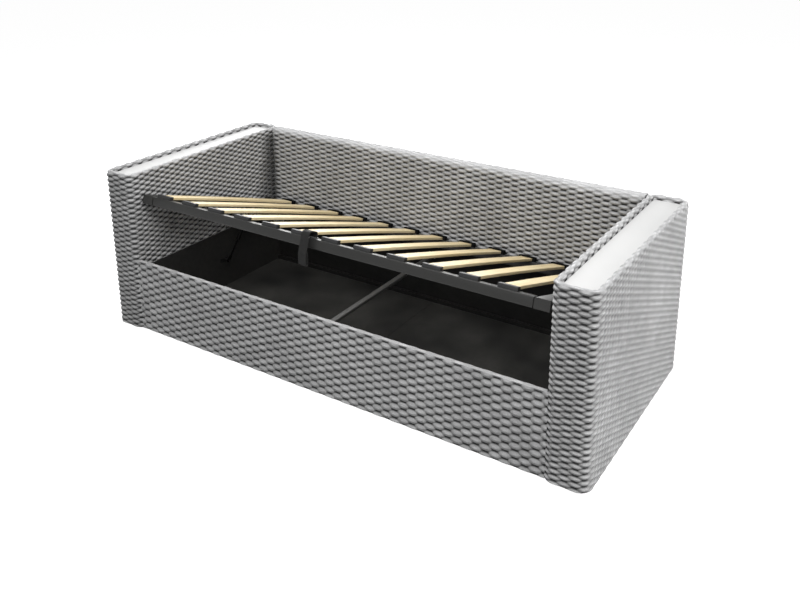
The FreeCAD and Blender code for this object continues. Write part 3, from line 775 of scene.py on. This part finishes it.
@dataclass
class WovenCover(ABC):
    """Padded cover in puffed cloth, closed behind by a plain lining."""

    weave: Weave = field(default_factory=Weave)
    row_pitch: float = 24.7
    relief: float = 5.2
    per_column: int = 4
    per_row: int = 10
    fill: float = 0.9
    # Painted light: share by which the gaps' colour is lightened where the cover looks up.
    top_painted_light: float = 0.84
    hem_share: float = 0.35
    hem_reach: float = 9.0
    sharp: float = 65.0

    @abstractmethod
    def profile(self) -> Outline:
        """Line across the cover on which its rows are counted."""

    @abstractmethod
    def lining(self) -> list[Pair]:
        """Points that close the profile behind the cloth."""

    @abstractmethod
    def columns(self) -> tuple[Array, Array]:
        """Distances along the cover and the count of columns up to each."""

    @abstractmethod
    def spread(self, along: Array, across: Array, out: Array, depth: Array) -> Array:
        """Points of the cover in space.

        Args:
            along: Distance along the cover of each point.
            across: Point of the profile of each point.
            out: Normal of the profile at each point.
            depth: How far each point lies under the smooth surface.

        Returns:
            The points, one row each.
        """

    def painted_light_share(self, points: Array, out: Array) -> Array:
        """Share of painted light by which the gaps' colour is lightened where the profile looks up."""
        return self.top_painted_light * np.clip(out[:, 1], 0.0, 1.0)

    def fold(self, points: Array) -> Array:
        """Share of painted shade in the corners where the cover meets another, from 0 to 1."""
        return np.zeros(len(points))

    def softness(self, distance: Array) -> Array:
        """Share of the relief at a distance along the profile, less at both hems."""
        edge = np.minimum(distance, self.profile().length - distance)
        return self.hem_share + (1.0 - self.hem_share) * np.clip(edge / self.hem_reach, 0.0, 1.0)

    def depth(self, height: Array, distance: Array) -> Array:
        """How far the cloth lies under the smooth surface, by its height and place along the profile."""
        return (1.0 - height) * self.relief * self.softness(distance)

    def mesh(self, name: str) -> Mesh:
        """Woven mesh of the cover.

        Args:
            name: Name of the mesh.

        Returns:
            The closed mesh, with its weave height, yarn tone, painted corner shade and cloth UV.
        """
        profile = self.profile()
        rows = round(profile.length / self.row_pitch * 2) / 2
        lining = self.lining()
        places, counts = self.columns()
        steps_u = int(round(counts[-1])) * self.per_column
        woven_v = int(round(rows * self.per_row))
        steps_v = woven_v + len(lining) + 1
        mesh, unit = unit_grid(name, steps_u, steps_v)
        column = np.round(unit[:, 0] * steps_u) / self.per_column
        index_v = np.round(unit[:, 1] * steps_v).astype(int)
        woven = index_v <= woven_v
        distance = np.where(woven, index_v / woven_v, 0.0) * profile.length
        across, out = profile.trace(distance)
        extra = np.array(lining + [profile.start])
        across[~woven] = extra[index_v[~woven] - woven_v - 1]
        row = distance / profile.length * rows
        height = np.where(woven, self.weave.height(column, row), 0.5)
        depth = np.where(woven, self.depth(height, distance), 0.0)
        hem = index_v == steps_v
        start = np.zeros(np.count_nonzero(hem))
        depth[hem] = self.depth(self.weave.height(column[hem], start), start)
        points = self.spread(np.interp(column, counts, places), across, out, depth)
        mesh.vertices.foreach_set("co", (points * MM).astype(np.float32).ravel())
        # The weave value is lightened by painted light where the cover looks up or out; the relief keeps the
        # plain height.
        self.note(mesh, "weave", 1.0 - (1.0 - height) * (1.0 - self.painted_light_share(points, out)))
        self.note(mesh, "yarn", self.weave.tone(column, row))
        # The fold attribute holds painted shade for the corners beside other covers, not a real fold.
        self.note(mesh, "fold", self.fold(points))
        scale_uv(mesh, counts[-1], rows * steps_v / woven_v)
        return self.closed(mesh)

    @staticmethod
    def note(mesh: Mesh, name: str, values: Array) -> None:
        """Keep one value for each point of a mesh."""
        layer = mesh.attributes.new(name, "FLOAT", "POINT")
        layer.data.foreach_set("value", values.astype(np.float32))

    @staticmethod
    def closed(mesh: Mesh) -> Mesh:
        """Join the seam, fill the open ends and point the faces outwards.

        Args:
            mesh: Mesh of the cover.

        Returns:
            The same mesh, closed.
        """
        form = bmesh.new()
        form.from_mesh(mesh)
        bmesh.ops.remove_doubles(form, verts=form.verts, dist=SEAM_REACH)
        rim = [edge for edge in form.edges if edge.is_boundary]
        if rim:
            bmesh.ops.holes_fill(form, edges=rim, sides=0)
        bmesh.ops.recalc_face_normals(form, faces=form.faces)
        form.to_mesh(mesh)
        form.free()
        return mesh

    def add(self, name: str, node: str) -> None:
        """Build the cover and put it in the scene as a padded piece that stands for a node."""
        piece = add_piece(name, self.mesh(name), FABRIC, "root", (node,), self.sharp)


@dataclass
class ArmCover(WovenCover):
    """Cover of one arm: up its sides, over the rolled rim and down into the recess of the white panel."""

    side: Side = Side.RIGHT
    rim: float = 29.0
    rim_round: float = 13.0
    panel_drop: float = 20.0
    panel_thick: float = 19.0
    side_columns: int = 31
    end_columns: int = 6
    weave: Weave = field(default_factory=lambda: Weave(half_height=0.375, crown=1.35))
    # Painted light on the flat outer side lightens its gaps, within a reach from the outside.
    outer_painted_light: float = 0.37
    outer_reach: float = 18.0
    # Inner reach, and reach, widening towards the foot and fade under the rim of the painted corner shade
    # beside the back.
    inner_reach: float = 12.0
    shade_reach: float = 56.0
    shade_widening: float = 210.0
    shade_fade: float = 40.0

    def profile(self) -> Outline:
        """From the foot up the outside and over the rim; the first axis is the inset from the outside."""
        wall = Bend(SIZES.height - self.rim_round - SIZES.foot)
        roll = Bend.corner(self.rim_round, -90.0)
        crest = Bend(self.rim - 2 * self.rim_round)
        drop = Bend(self.panel_drop - self.rim_round)
        return Outline((0.0, SIZES.foot), 90.0, (wall, roll, crest, roll, drop))

    def lining(self) -> list[Pair]:
        """Under the panel's edge and down inside the cloth."""
        deck = SIZES.height - self.panel_drop - self.panel_thick
        return [(self.rim, deck), (SIZES.cover, deck), (SIZES.cover, SIZES.foot)]

    def painted_light_share(self, points: Array, out: Array) -> Array:
        """Painted light lightens the gaps on the rim, and partly on the flat outer side."""
        outer = (np.abs(points[:, 0]) - SIZES.length / 2) / self.outer_reach + 1.0
        return np.maximum(super().painted_light_share(points, out), self.outer_painted_light * np.clip(outer, 0.0, 1.0))

    def fold(self, points: Array) -> Array:
        """Painted shade on the inner side towards the back, more so lower down and not on the rim."""
        inner = np.clip(1.0 - (np.abs(points[:, 0]) - SIZES.arm_inner_x) / self.inner_reach, 0.0, 1.0)
        under = np.clip(SIZES.height - self.rim_round - points[:, 2], 0.0, None)
        reach = self.shade_reach + self.shade_widening * under / SIZES.height
        near = np.clip(1.0 - np.abs(SIZES.back_y - points[:, 1]) / reach, 0.0, 1.0)
        return inner * near * np.clip(under / self.shade_fade, 0.0, 1.0)

    def plan(self) -> Outline:
        """Outside of the arm from above, from the middle of its rear end."""
        half_end = Bend(SIZES.arm_width / 2 - SIZES.arm_corner)
        turn = Bend.corner(SIZES.arm_corner, 90.0)
        long = Bend(SIZES.depth - 2 * SIZES.arm_corner)
        end = Bend(SIZES.arm_width - 2 * SIZES.arm_corner)
        start = (self.side.value * (SIZES.length - SIZES.arm_width) / 2, SIZES.depth / 2)
        return Outline(start, 180.0, (half_end, turn, long, turn, end, turn, long, turn, half_end))

    def columns(self) -> tuple[Array, Array]:
        """Columns are narrower along the sides than round the ends."""
        lengths = [bend.length for bend in self.plan().bends]
        half_end = sum(lengths[:2])
        long = lengths[2]
        half = self.end_columns / 2
        places = np.cumsum([0.0, half_end, long, sum(lengths[3:6]), long, half_end])
        counts = np.cumsum([0.0, half, self.side_columns, self.end_columns, self.side_columns, half])
        return places, counts

    def spread(self, along: Array, across: Array, out: Array, depth: Array) -> Array:
        """Carry the profile round the arm's plan."""
        points, left = self.plan().trace(along)
        sunk = across - out * depth[:, None]
        return np.column_stack([points + left * sunk[:, :1], sunk[:, 1]])


@dataclass
class StraightCover(WovenCover):
    """Cover that runs straight between the arms."""

    column_count: int = 52
    tuck: float = 0.0
    end_roll: float = 0.0
    end_reach: float = 26.0

    def columns(self) -> tuple[Array, Array]:
        """Even columns from arm to arm, with a tuck at both ends."""
        half = SIZES.span_half + self.tuck
        return np.array([-half, half]), np.array([0.0, float(self.column_count)])

    def spread(self, along: Array, across: Array, out: Array, depth: Array) -> Array:
        """Carry the profile along X, with its face drawn in beside the arms."""
        near = np.clip(1.0 - (SIZES.span_half - np.abs(along)) / self.end_reach, 0.0, 1.0)
        drawn = depth + self.end_roll * near ** 2 * np.clip(-out[:, 0], 0.0, 1.0)
        return np.column_stack([along, across - out * drawn[:, None]])


@dataclass
class BackCover(StraightCover):
    """Padded cover over the front, top and rear of the back."""

    bottom: float = 330.0
    top_round: float = 26.0
    board_y: float = 465.0
    board: float = 18.0
    board_top: float = 735.0
    end_roll: float = 20.0
    end_reach: float = 36.0
    # Reach and fade of the painted shade beside the arms.
    shade_reach: float = 48.0
    shade_fade: float = 40.0

    def fold(self, points: Array) -> Array:
        """Painted shade on the front beside the arms, but not over the top."""
        near = np.clip(1.0 - (SIZES.span_half - np.abs(points[:, 0])) / self.shade_reach, 0.0, 1.0)
        under = np.clip((SIZES.height - self.top_round - points[:, 2]) / self.shade_fade, 0.0, 1.0)
        return near * under * (points[:, 1] < self.board_y)

    def profile(self) -> Outline:
        """Up the front, over the top and down the rear."""
        wall = Bend(SIZES.height - self.top_round - self.bottom)
        roll = Bend.corner(self.top_round, -90.0)
        crest = Bend(SIZES.depth / 2 - SIZES.back_y - 2 * self.top_round)
        return Outline((SIZES.back_y, self.bottom), 90.0, (wall, roll, crest, roll, wall))

    def lining(self) -> list[Pair]:
        """Round the board inside the back."""
        rear = self.board_y + self.board
        return [(rear, self.bottom), (rear, self.board_top), (self.board_y, self.board_top),
                (self.board_y, self.bottom)]


@dataclass
class RearCover(StraightCover):
    """Cover of the box's rear, under the back."""

    top: float = 330.0
    inner_y: float = 483.0

    def profile(self) -> Outline:
        """Down the rear face."""
        return Outline((SIZES.depth / 2, self.top), -90.0, (Bend(self.top - SIZES.foot),))

    def lining(self) -> list[Pair]:
        """Against the board."""
        return [(self.inner_y, SIZES.foot), (self.inner_y, self.top)]


@dataclass
class FrontRailCover(StraightCover):
    """Cover over the front and top of the front rail, in larger cells.

    Its columns run on into the notches beside the arms' rounded corners.
    """

    row_pitch: float = 33.5
    relief: float = 5.4
    per_column: int = 8
    per_row: int = 12
    tuck: float = 15.0
    face_y: float = -505.0
    inner_y: float = -483.0
    top: float = 346.0
    edge_round: float = 4.0
    hem: float = 2.0
    tight_share: float = 0.62
    tight_reach: float = 10.0

    @property
    def wall(self) -> float:
        """Height of the flat face, up to its rounded top edge."""
        return self.top - self.edge_round - SIZES.foot

    def profile(self) -> Outline:
        """Up the face and over the top edge."""
        roll = Bend.corner(self.edge_round, -90.0)
        crest = Bend(self.inner_y - self.face_y - 2 * self.edge_round)
        return Outline((self.face_y, SIZES.foot), 90.0, (Bend(self.wall), roll, crest, roll, Bend(self.hem)))

    def lining(self) -> list[Pair]:
        """Over the board."""
        board_y = self.face_y + SIZES.cover
        return [(board_y, self.top - SIZES.cover), (board_y, SIZES.foot)]

    def spread(self, along: Array, across: Array, out: Array, depth: Array) -> Array:
        """Carry the profile along X, up to the rounded corner of each arm."""
        points = super().spread(along, across, out, depth)
        corner = SIZES.arm_corner
        past = np.clip(corner - SIZES.depth / 2 - points[:, 1], 0.0, corner)
        reach = SIZES.span_half + corner - np.sqrt(corner ** 2 - past ** 2)
        points[:, 0] = np.clip(points[:, 0], -reach, reach)
        return points

    def softness(self, distance: Array) -> Array:
        """Less relief from the tight top edge on, where the cloth is drawn over the board."""
        tight = np.clip((distance - self.wall + self.tight_reach) / self.tight_reach, 0.0, 1.0)
        return super().softness(distance) * (1.0 - self.tight_share * tight)


@dataclass
class SlatBase:
    """Steel frame with beech slats in moulded holders, drawn closed and then turned to its rest pose."""

    half_length: float = 994.0
    front_y: float = -503.0
    rear_y: float = 422.0
    bottom: float = 347.0
    rail_height: float = 40.0
    rail_depth: float = 40.0
    end_width: float = 60.0
    wall: float = 2.0
    rail_round: float = 4.0
    seam: float = 3.0
    cap_edge: float = 4.0
    cap_sink: float = 0.6
    cap_round: float = 0.5
    slat_count: int = 12
    slat_pitch: float = 154.8
    slat_shift: float = -26.0
    slat_width: float = 57.0
    slat_thick: float = 12.0
    slat_lift: float = 1.2
    slat_crown: float = 3.0
    slat_seat: float = 19.0
    slat_end: float = 25.0
    slat_round: float = 1.7
    slat_cuts: int = 15
    holder_width: float = 78.0
    holder_depth: float = 24.0
    holder_height: float = 15.6
    rear_lip: float = 4.4
    holder_inset: float = 10.0
    holder_round: float = 1.2
    headroom: float = 0.7
    play: float = 0.3

    @property
    def rail_top(self) -> float:
        """Top of the rails in the closed pose."""
        return self.bottom + self.rail_height

    @property
    def inner_x(self) -> float:
        """Inner side of the right end rail."""
        return self.half_length - self.end_width

    def outer_y(self, row: Row) -> float:
        """Outer face of the front or rear rail."""
        return self.front_y if row is Row.FRONT else self.rear_y

    def end_span(self, side: Side) -> list[float]:
        """Left and right face of an end rail."""
        return sorted((side.value * self.inner_x, side.value * self.half_length))

    def slat_x(self, index: int) -> float:
        """Middle of a slat along X, counted from the left."""
        return self.slat_shift + (index - (self.slat_count - 1) / 2) * self.slat_pitch

    @staticmethod
    def place(form: Form, name: str, finish: Finish, slot: str, node: str) -> None:
        """Turn a form from the closed pose to the rest pose and add it as a piece of the base."""
        add_piece(name, finish_mesh(form, name, SIZES.opening), finish, "slat_base", (node,))

    def add_tube(self, name: str, x_span: list[float], y_span: list[float], node: str,
                 neck: float = 0.0) -> None:
        """Add one rail with the rounded edges of drawn tube.

        Args:
            name: Name of the piece.
            x_span: Its left and right end in the closed pose.
            y_span: Its front and rear.
            node: Node that it stands for.
            neck: Length of the thinner tongue at both ends, which leaves a seam round the joint.
        """
        low = (x_span[0], y_span[0], self.bottom)
        high = (x_span[1], y_span[1], self.rail_top)
        form = block(low, high)
        soften(form, list(form.edges), self.rail_round, 3)
        if neck > 0.0:
            inset = Vector((-neck, self.wall + neck, self.wall + neck))
            gather(form, block(Vector(low) + inset, Vector(high) - inset))
        self.place(form, name, RAIL_COAT, "dark_steel", node)

    def add_rails(self) -> None:
        """Add the long rails and the end rails."""
        run = self.inner_x - self.seam
        for row in Row:
            outer = self.outer_y(row)
            y_span = sorted((outer, outer + row.value * self.rail_depth))
            node = "base_" + row.word + "_rail"
            self.add_tube(row.word + "_rail_tube", [-run, run], y_span, node, self.seam)
        y_span = [self.front_y + self.wall, self.rear_y - self.wall]
        for side in Side:
            self.add_tube(side.word + "_end_tube", self.end_span(side), y_span, side.word + "_base_end_rail")

    def add_caps(self) -> None:
        """Add the plates that close the end rails, with a raised edge."""
        whole = bmesh.new()
        for side in Side:
            left, right = self.end_span(side)
            for row in Row:
                outer = self.outer_y(row)
                near, far = sorted((outer, outer + row.value * self.wall))
                cap = block((left, near, self.bottom), (right, far, self.rail_top))
                bmesh.ops.inset_region(cap, faces=faces_to(cap, -row.value), thickness=self.cap_edge,
                                       depth=-self.cap_sink)
                soften(cap, sharp_edges(cap), self.cap_round, 2)
                gather(whole, cap)
        self.place(whole, "rail_end_plates", RAIL_COAT, "dark_steel", "rail_end_caps")

    def add_slats(self) -> None:
        """Add the crowned beech slats with their rounded ends."""
        start = self.front_y + self.holder_inset + self.holder_depth - self.slat_seat
        end = self.rear_y - self.holder_inset - self.holder_depth + self.slat_seat
        middle, reach = (start + end) / 2, (end - start) / 2
        low = self.rail_top + self.slat_lift
        half = self.slat_width / 2
        for index in range(self.slat_count):
            x = self.slat_x(index)
            form = block((x - half, start, low), (x + half, end, low + self.slat_thick))
            soften(form, edges_along(form, 2, self.slat_thick / 2), self.slat_end, 8)
            for y in np.linspace(start + self.slat_end, end - self.slat_end, self.slat_cuts):
                bmesh.ops.bisect_plane(form, geom=[*form.verts, *form.edges, *form.faces],
                                       plane_co=(x, float(y), low), plane_no=(0.0, 1.0, 0.0))
            for vert in form.verts:
                vert.co.z += self.slat_crown * (1.0 - ((vert.co.y - middle) / reach) ** 2)
            soften(form, sharp_edges(form), self.slat_round, 4)
            number = "%02d" % (index + 1)
            self.place(form, "beech_slat_" + number, BEECH, "beech", "slat_" + number)

    def holder(self, index: int, row: Row) -> Form:
        """One moulded holder in the closed pose.

        Args:
            index: Number of its slat from the left.
            row: Front or rear row.

        Returns:
            The holder as a form.
        """
        back = self.outer_y(row) + row.value * self.holder_inset
        near, far = sorted((back, back + row.value * self.holder_depth))
        x = self.slat_x(index)
        half = self.holder_width / 2
        top = self.rail_top + self.holder_height + (0.0 if row is Row.FRONT else self.rear_lip)
        form = block((x - half, near, self.rail_top), (x + half, far, top))
        mouth = faces_to(form, row.value)
        bmesh.ops.inset_region(form, faces=mouth, thickness=self.slat_lift)
        reach = self.slat_width / 2 + self.play
        low = self.rail_top + self.slat_lift - self.play
        high = low + self.slat_thick + 2 * self.play + self.headroom
        for vert in mouth[0].verts:
            vert.co.x = x + math.copysign(reach, vert.co.x - x)
            vert.co.z = low if vert.co.z < (low + high) / 2 else high
        pushed = bmesh.ops.extrude_discrete_faces(form, faces=mouth)["faces"]
        inside = [v for f in pushed for v in f.verts]
        seat = -row.value * (self.slat_seat + self.play)
        bmesh.ops.translate(form, vec=(0.0, seat, 0.0), verts=inside)
        upright = edges_along(form, 2, self.holder_height / 2)
        above = (high + top) / 2
        outer = [e for e in sharp_edges(form) if e in upright or min(v.co.z for v in e.verts) > above]
        soften(form, outer, self.holder_round, 3)
        return form

    def add_holders(self) -> None:
        """Add both rows of holders, the rear row in a darker, rougher copy of the moulding as painted shade.
        """
        for row, finish in ((Row.FRONT, HOLDER_PLASTIC), (Row.REAR, SHADED_REAR_HOLDER_PLASTIC)):
            whole = bmesh.new()
            for index in range(self.slat_count):
                gather(whole, self.holder(index, row))
            name = row.word + "_holder_mouldings"
            self.place(whole, name, finish, "black_plastic", row.word + "_slat_holders")

    def add(self) -> None:
        """Build the whole slat base."""
        self.add_rails()
        self.add_caps()
        self.add_slats()
        self.add_holders()


@dataclass
class PullStrap:
    """One length of webbing that arches over the front rail, hangs from its edge and folds back up."""

    x: float = -41.0
    width: float = 40.0
    thick: float = 3.0
    foot_y: float = -472.0
    foot: float = 389.0
    rise: float = 12.0
    turn: float = 14.0
    over: float = 35.0
    crown: float = 20.0
    face: float = 73.0
    ease: float = 16.0
    hang: float = 34.0
    fold: float = 7.0
    tail: float = 52.0
    crease: float = 8.0
    hinge_y: float = -490.81
    hinge_z: float = 628.95
    bow: float = 0.35
    edge_round: float = 0.7
    lanes: int = 8
    step: float = 3.0

    def line(self) -> Outline:
        """Middle of the webbing in Y and Z, in the rest pose, from its foot to its loose end."""
        lean = SIZES.rest_opening
        foot = SIZES.opening @ (Vector((0.0, self.foot_y, self.foot)) * MM) / MM
        shoulder = Bend.corner(self.turn, 90.0 - self.crown / 2)
        arch = (Bend(self.rise), shoulder, Bend(self.over, math.radians(self.crown)), shoulder)
        drop = (Bend(self.face), Bend(self.ease, math.radians(lean)), Bend(self.hang))
        return Outline((foot.y, foot.z), 90.0 - lean,
                       arch + drop + (Bend.corner(self.fold, 180.0), Bend(self.tail)))

    def mesh(self, name: str) -> Mesh:
        """Strip of webbing along its line.

        Args:
            name: Name of the mesh.

        Returns:
            The mesh with a UV map in millimetres.
        """
        line = self.line()
        grid, unit = unit_grid(name, self.lanes, int(line.length / self.step))
        middle, left = line.trace(unit[:, 1] * line.length)
        across = unit[:, 0] - 0.5
        bow = self.bow * np.cos(np.pi * across)
        points = np.column_stack([self.x + across * self.width, middle + left * bow[:, None]])
        grid.vertices.foreach_set("co", points.astype(np.float32).ravel())
        scale_uv(grid, self.width, line.length)
        form = bmesh.new()
        form.from_mesh(grid)
        bmesh.ops.recalc_face_normals(form, faces=form.faces)
        bmesh.ops.solidify(form, geom=form.faces, thickness=self.thick)
        soften(form, sharp_edges(form), self.edge_round, 2)
        bpy.data.meshes.remove(grid)
        return finish_mesh(form, name)

    def add(self) -> None:
        """Build the strap, which bends at the rail's lower edge."""
        piece = add_piece("pull_strap_webbing", self.mesh("pull_strap_webbing"), WEBBING, "",
                          ("strap_band", "strap_loop"))
        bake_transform(piece)


@dataclass
class CentreBar:
    """Bar across the storage box, with the rounded edges of drawn tube."""

    width: float = 25.0
    height: float = 15.0
    top: float = 270.0
    front_y: float = -480.0
    rear_y: float = 458.0
    edge_round: float = 2.5

    def add(self) -> None:
        """Build the bar."""
        half = self.width / 2
        form = block((-half, self.front_y, self.top - self.height), (half, self.rear_y, self.top))
        soften(form, edges_along(form, 1, self.height), self.edge_round, 3)
        mesh = finish_mesh(form, "centre_bar_tube")
        add_piece("centre_bar_tube", mesh, BAR_COAT, "root", ("centre_bar",))


@dataclass
class CadDress:
    """Finishes of the nodes whose own shape is shown, by how the nodes' names end."""

    finishes: tuple[tuple[Finish, tuple[str, ...]], ...] = (
        (RAW_BOARD, ("arm_carcass", "arm_rim_battens")),
        (WHITE_PANEL, ("arm_top_panel",)),
        (BLACK_BOARD, ("back_board", "front_rail_board", "rear_box_panel", "floor_cleats")),
        (LIGHTER_END_BOARD, ("box_end_panel",)),
        (LIT_FLOOR_BOARD, ("floor_panel",)),
        (ZINC, ("centre_bar_brackets", "corner_brackets", "pivot_pin", "strap_foot_plate")),
        (RAIL_COAT, ("pivot_bracket", "strut_hanger")),
        (BLACK_PLASTIC, ("pivot_bushes", "glides")),
        (STUD_BLACK, ("strut_stud",)),
        (ROD_BLACK, ("strut_rod",)),
        (CYLINDER_BLACK, ("strut_cylinder",)),
        (SCREW_BLACK, ("screw_heads",)),
    )

    def add(self, nodes: dict[str, bpy.types.Object]) -> None:
        """Give each shown node its finish.

        Args:
            nodes: The part's node objects by name.
        """
        for name, node in nodes.items():
            for finish, endings in self.finishes:
                if not name.endswith(endings):
                    continue
                if not node.material_slots:
                    node.data.materials.append(finish.material())
                for slot in node.material_slots:
                    slot.material = finish.material()
                LOG.info("%s: %s", name, finish.name)


@dataclass(frozen=True)
class Softbox:
    """Soft light with a rectangular window, in metres and watts."""

    name: str
    place: Point
    target: Point
    size: Pair
    energy: float
    on_matt: bool = True

    def add(self) -> None:
        """Put the light in the scene, pointed at its target."""
        data = bpy.data.lights.new(self.name, "AREA")
        data.shape = "RECTANGLE"
        data.size, data.size_y = self.size
        data.energy = self.energy
        lamp = bpy.data.objects.new(self.name, data)
        aim = (Vector(self.target) - Vector(self.place)).to_track_quat("-Z", "Y")
        lamp.matrix_world = Matrix.Translation(self.place) @ aim.to_matrix().to_4x4()
        lamp.visible_diffuse = self.on_matt
        bpy.context.scene.collection.objects.link(lamp)


@dataclass
class Studio:
    """White floor, soft lights and the camera of the photograph."""

    camera_place: Point = (2.0275, -2.9637, 1.9911)
    yaw: float = 33.071
    pitch: float = 16.736
    roll: float = -0.266
    lens: float = 39.53
    sensor: float = 36.0
    shift_y: float = -0.1875
    far: float = 200.0
    floor_size: float = 30.0
    ambient: float = 0.16
    backdrop: float = 1.0
    floor_seen: float = 0.8
    floor_bounce: float = 0.4
    floor_glow: float = 0.85
    lamps: tuple[Softbox, ...] = (
        Softbox("right_softbox", (3.2, 0.0, 0.95), (1.2, 0.2, 0.4), (1.5, 1.5), 40.0),
        Softbox("top_softbox", (1.0, -2.3, 3.9), (0.2, 0.0, 0.4), (2.4, 2.4), 116.0),
        Softbox("overhead_softbox", (0.0, 0.4, 3.4), (0.0, 0.2, 0.4), (3.0, 2.0), 32.0),
        Softbox("back_softbox", (-2.4, 3.3, 2.4), (0.0, -0.3, 0.6), (3.0, 3.0), 135.0),
        Softbox("front_fill", (1.8, -4.4, 3.0), (0.2, 0.0, 0.4), (3.0, 3.0), 11.0),
        Softbox("rim_strip", (-3.2, 3.4, 1.7), (-0.2, -0.45, 0.66), (5.5, 1.6), 125.0, on_matt=False),
    )

    def add_camera(self) -> None:
        """Add the camera."""
        data = bpy.data.cameras.new("photo_camera")
        data.lens = self.lens
        data.sensor_width = self.sensor
        data.shift_y = self.shift_y
        data.clip_end = self.far
        camera = bpy.data.objects.new("photo_camera", data)
        aim = Matrix.Rotation(math.radians(self.yaw), 4, "Z")
        tilt = Matrix.Rotation(math.radians(90.0 - self.pitch), 4, "X")
        lean = Matrix.Rotation(math.radians(self.roll), 4, "Z")
        camera.matrix_world = Matrix.Translation(self.camera_place) @ aim @ tilt @ lean
        bpy.context.scene.collection.objects.link(camera)
        bpy.context.scene.camera = camera

    def add_world(self) -> None:
        """Add the surrounding light, white where it is seen."""
        world = bpy.data.worlds.new("studio")
        world.use_nodes = True
        board = NodeBoard(world.node_tree)
        lit, seen = [board.add("ShaderNodeBackground", Color=grey(1.0), Strength=strength)
                     for strength in (self.ambient, self.backdrop)]
        board.show("ShaderNodeOutputWorld", lit.outputs["Background"], seen.outputs["Background"])
        bpy.context.scene.world = world

    def add_floor(self) -> None:
        """Add the pale floor, which keeps the bed's soft shadow."""
        form = bmesh.new()
        bmesh.ops.create_grid(form, x_segments=1, y_segments=1, size=self.floor_size)
        mesh = to_mesh(form, "studio_floor")
        material = bpy.data.materials.new("studio_floor")
        material.use_nodes = True
        board = NodeBoard(material.node_tree)
        lit, paint = [board.add("ShaderNodeBsdfDiffuse", Color=grey(level))
                      for level in (self.floor_bounce, self.floor_seen)]
        glow = board.add("ShaderNodeEmission", Strength=self.floor_glow)
        seen = board.add("ShaderNodeAddShader")
        board.join(paint.outputs["BSDF"], seen.inputs[0])
        board.join(glow.outputs["Emission"], seen.inputs[1])
        board.show("ShaderNodeOutputMaterial", lit.outputs["BSDF"], seen.outputs["Shader"])
        mesh.materials.append(material)
        floor = bpy.data.objects.new("studio_floor", mesh)
        bpy.context.scene.collection.objects.link(floor)

    def add(self) -> None:
        """Build the studio."""
        self.add_camera()
        self.add_world()
        self.add_floor()
        for lamp in self.lamps:
            lamp.add()
        bpy.context.scene.view_settings.view_transform = "Standard"


def main() -> None:
    """Load the part, dress it and stage it."""
    logging.basicConfig(level=logging.INFO, format="%(name)s %(message)s")
    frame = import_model()
    CadDress().add(frame["nodes"])
    for side in Side:
        ArmCover(side=side).add(side.word + "_arm_cloth", side.word + "_arm_upholstery")
    BackCover().add("back_cloth", "back_upholstery")
    RearCover().add("rear_cloth", "rear_cover")
    FrontRailCover().add("front_rail_cloth", "front_rail_upholstery")
    SlatBase().add()
    PullStrap().add()
    CentreBar().add()
    Studio().add()


if __name__ == "__main__":
    main()
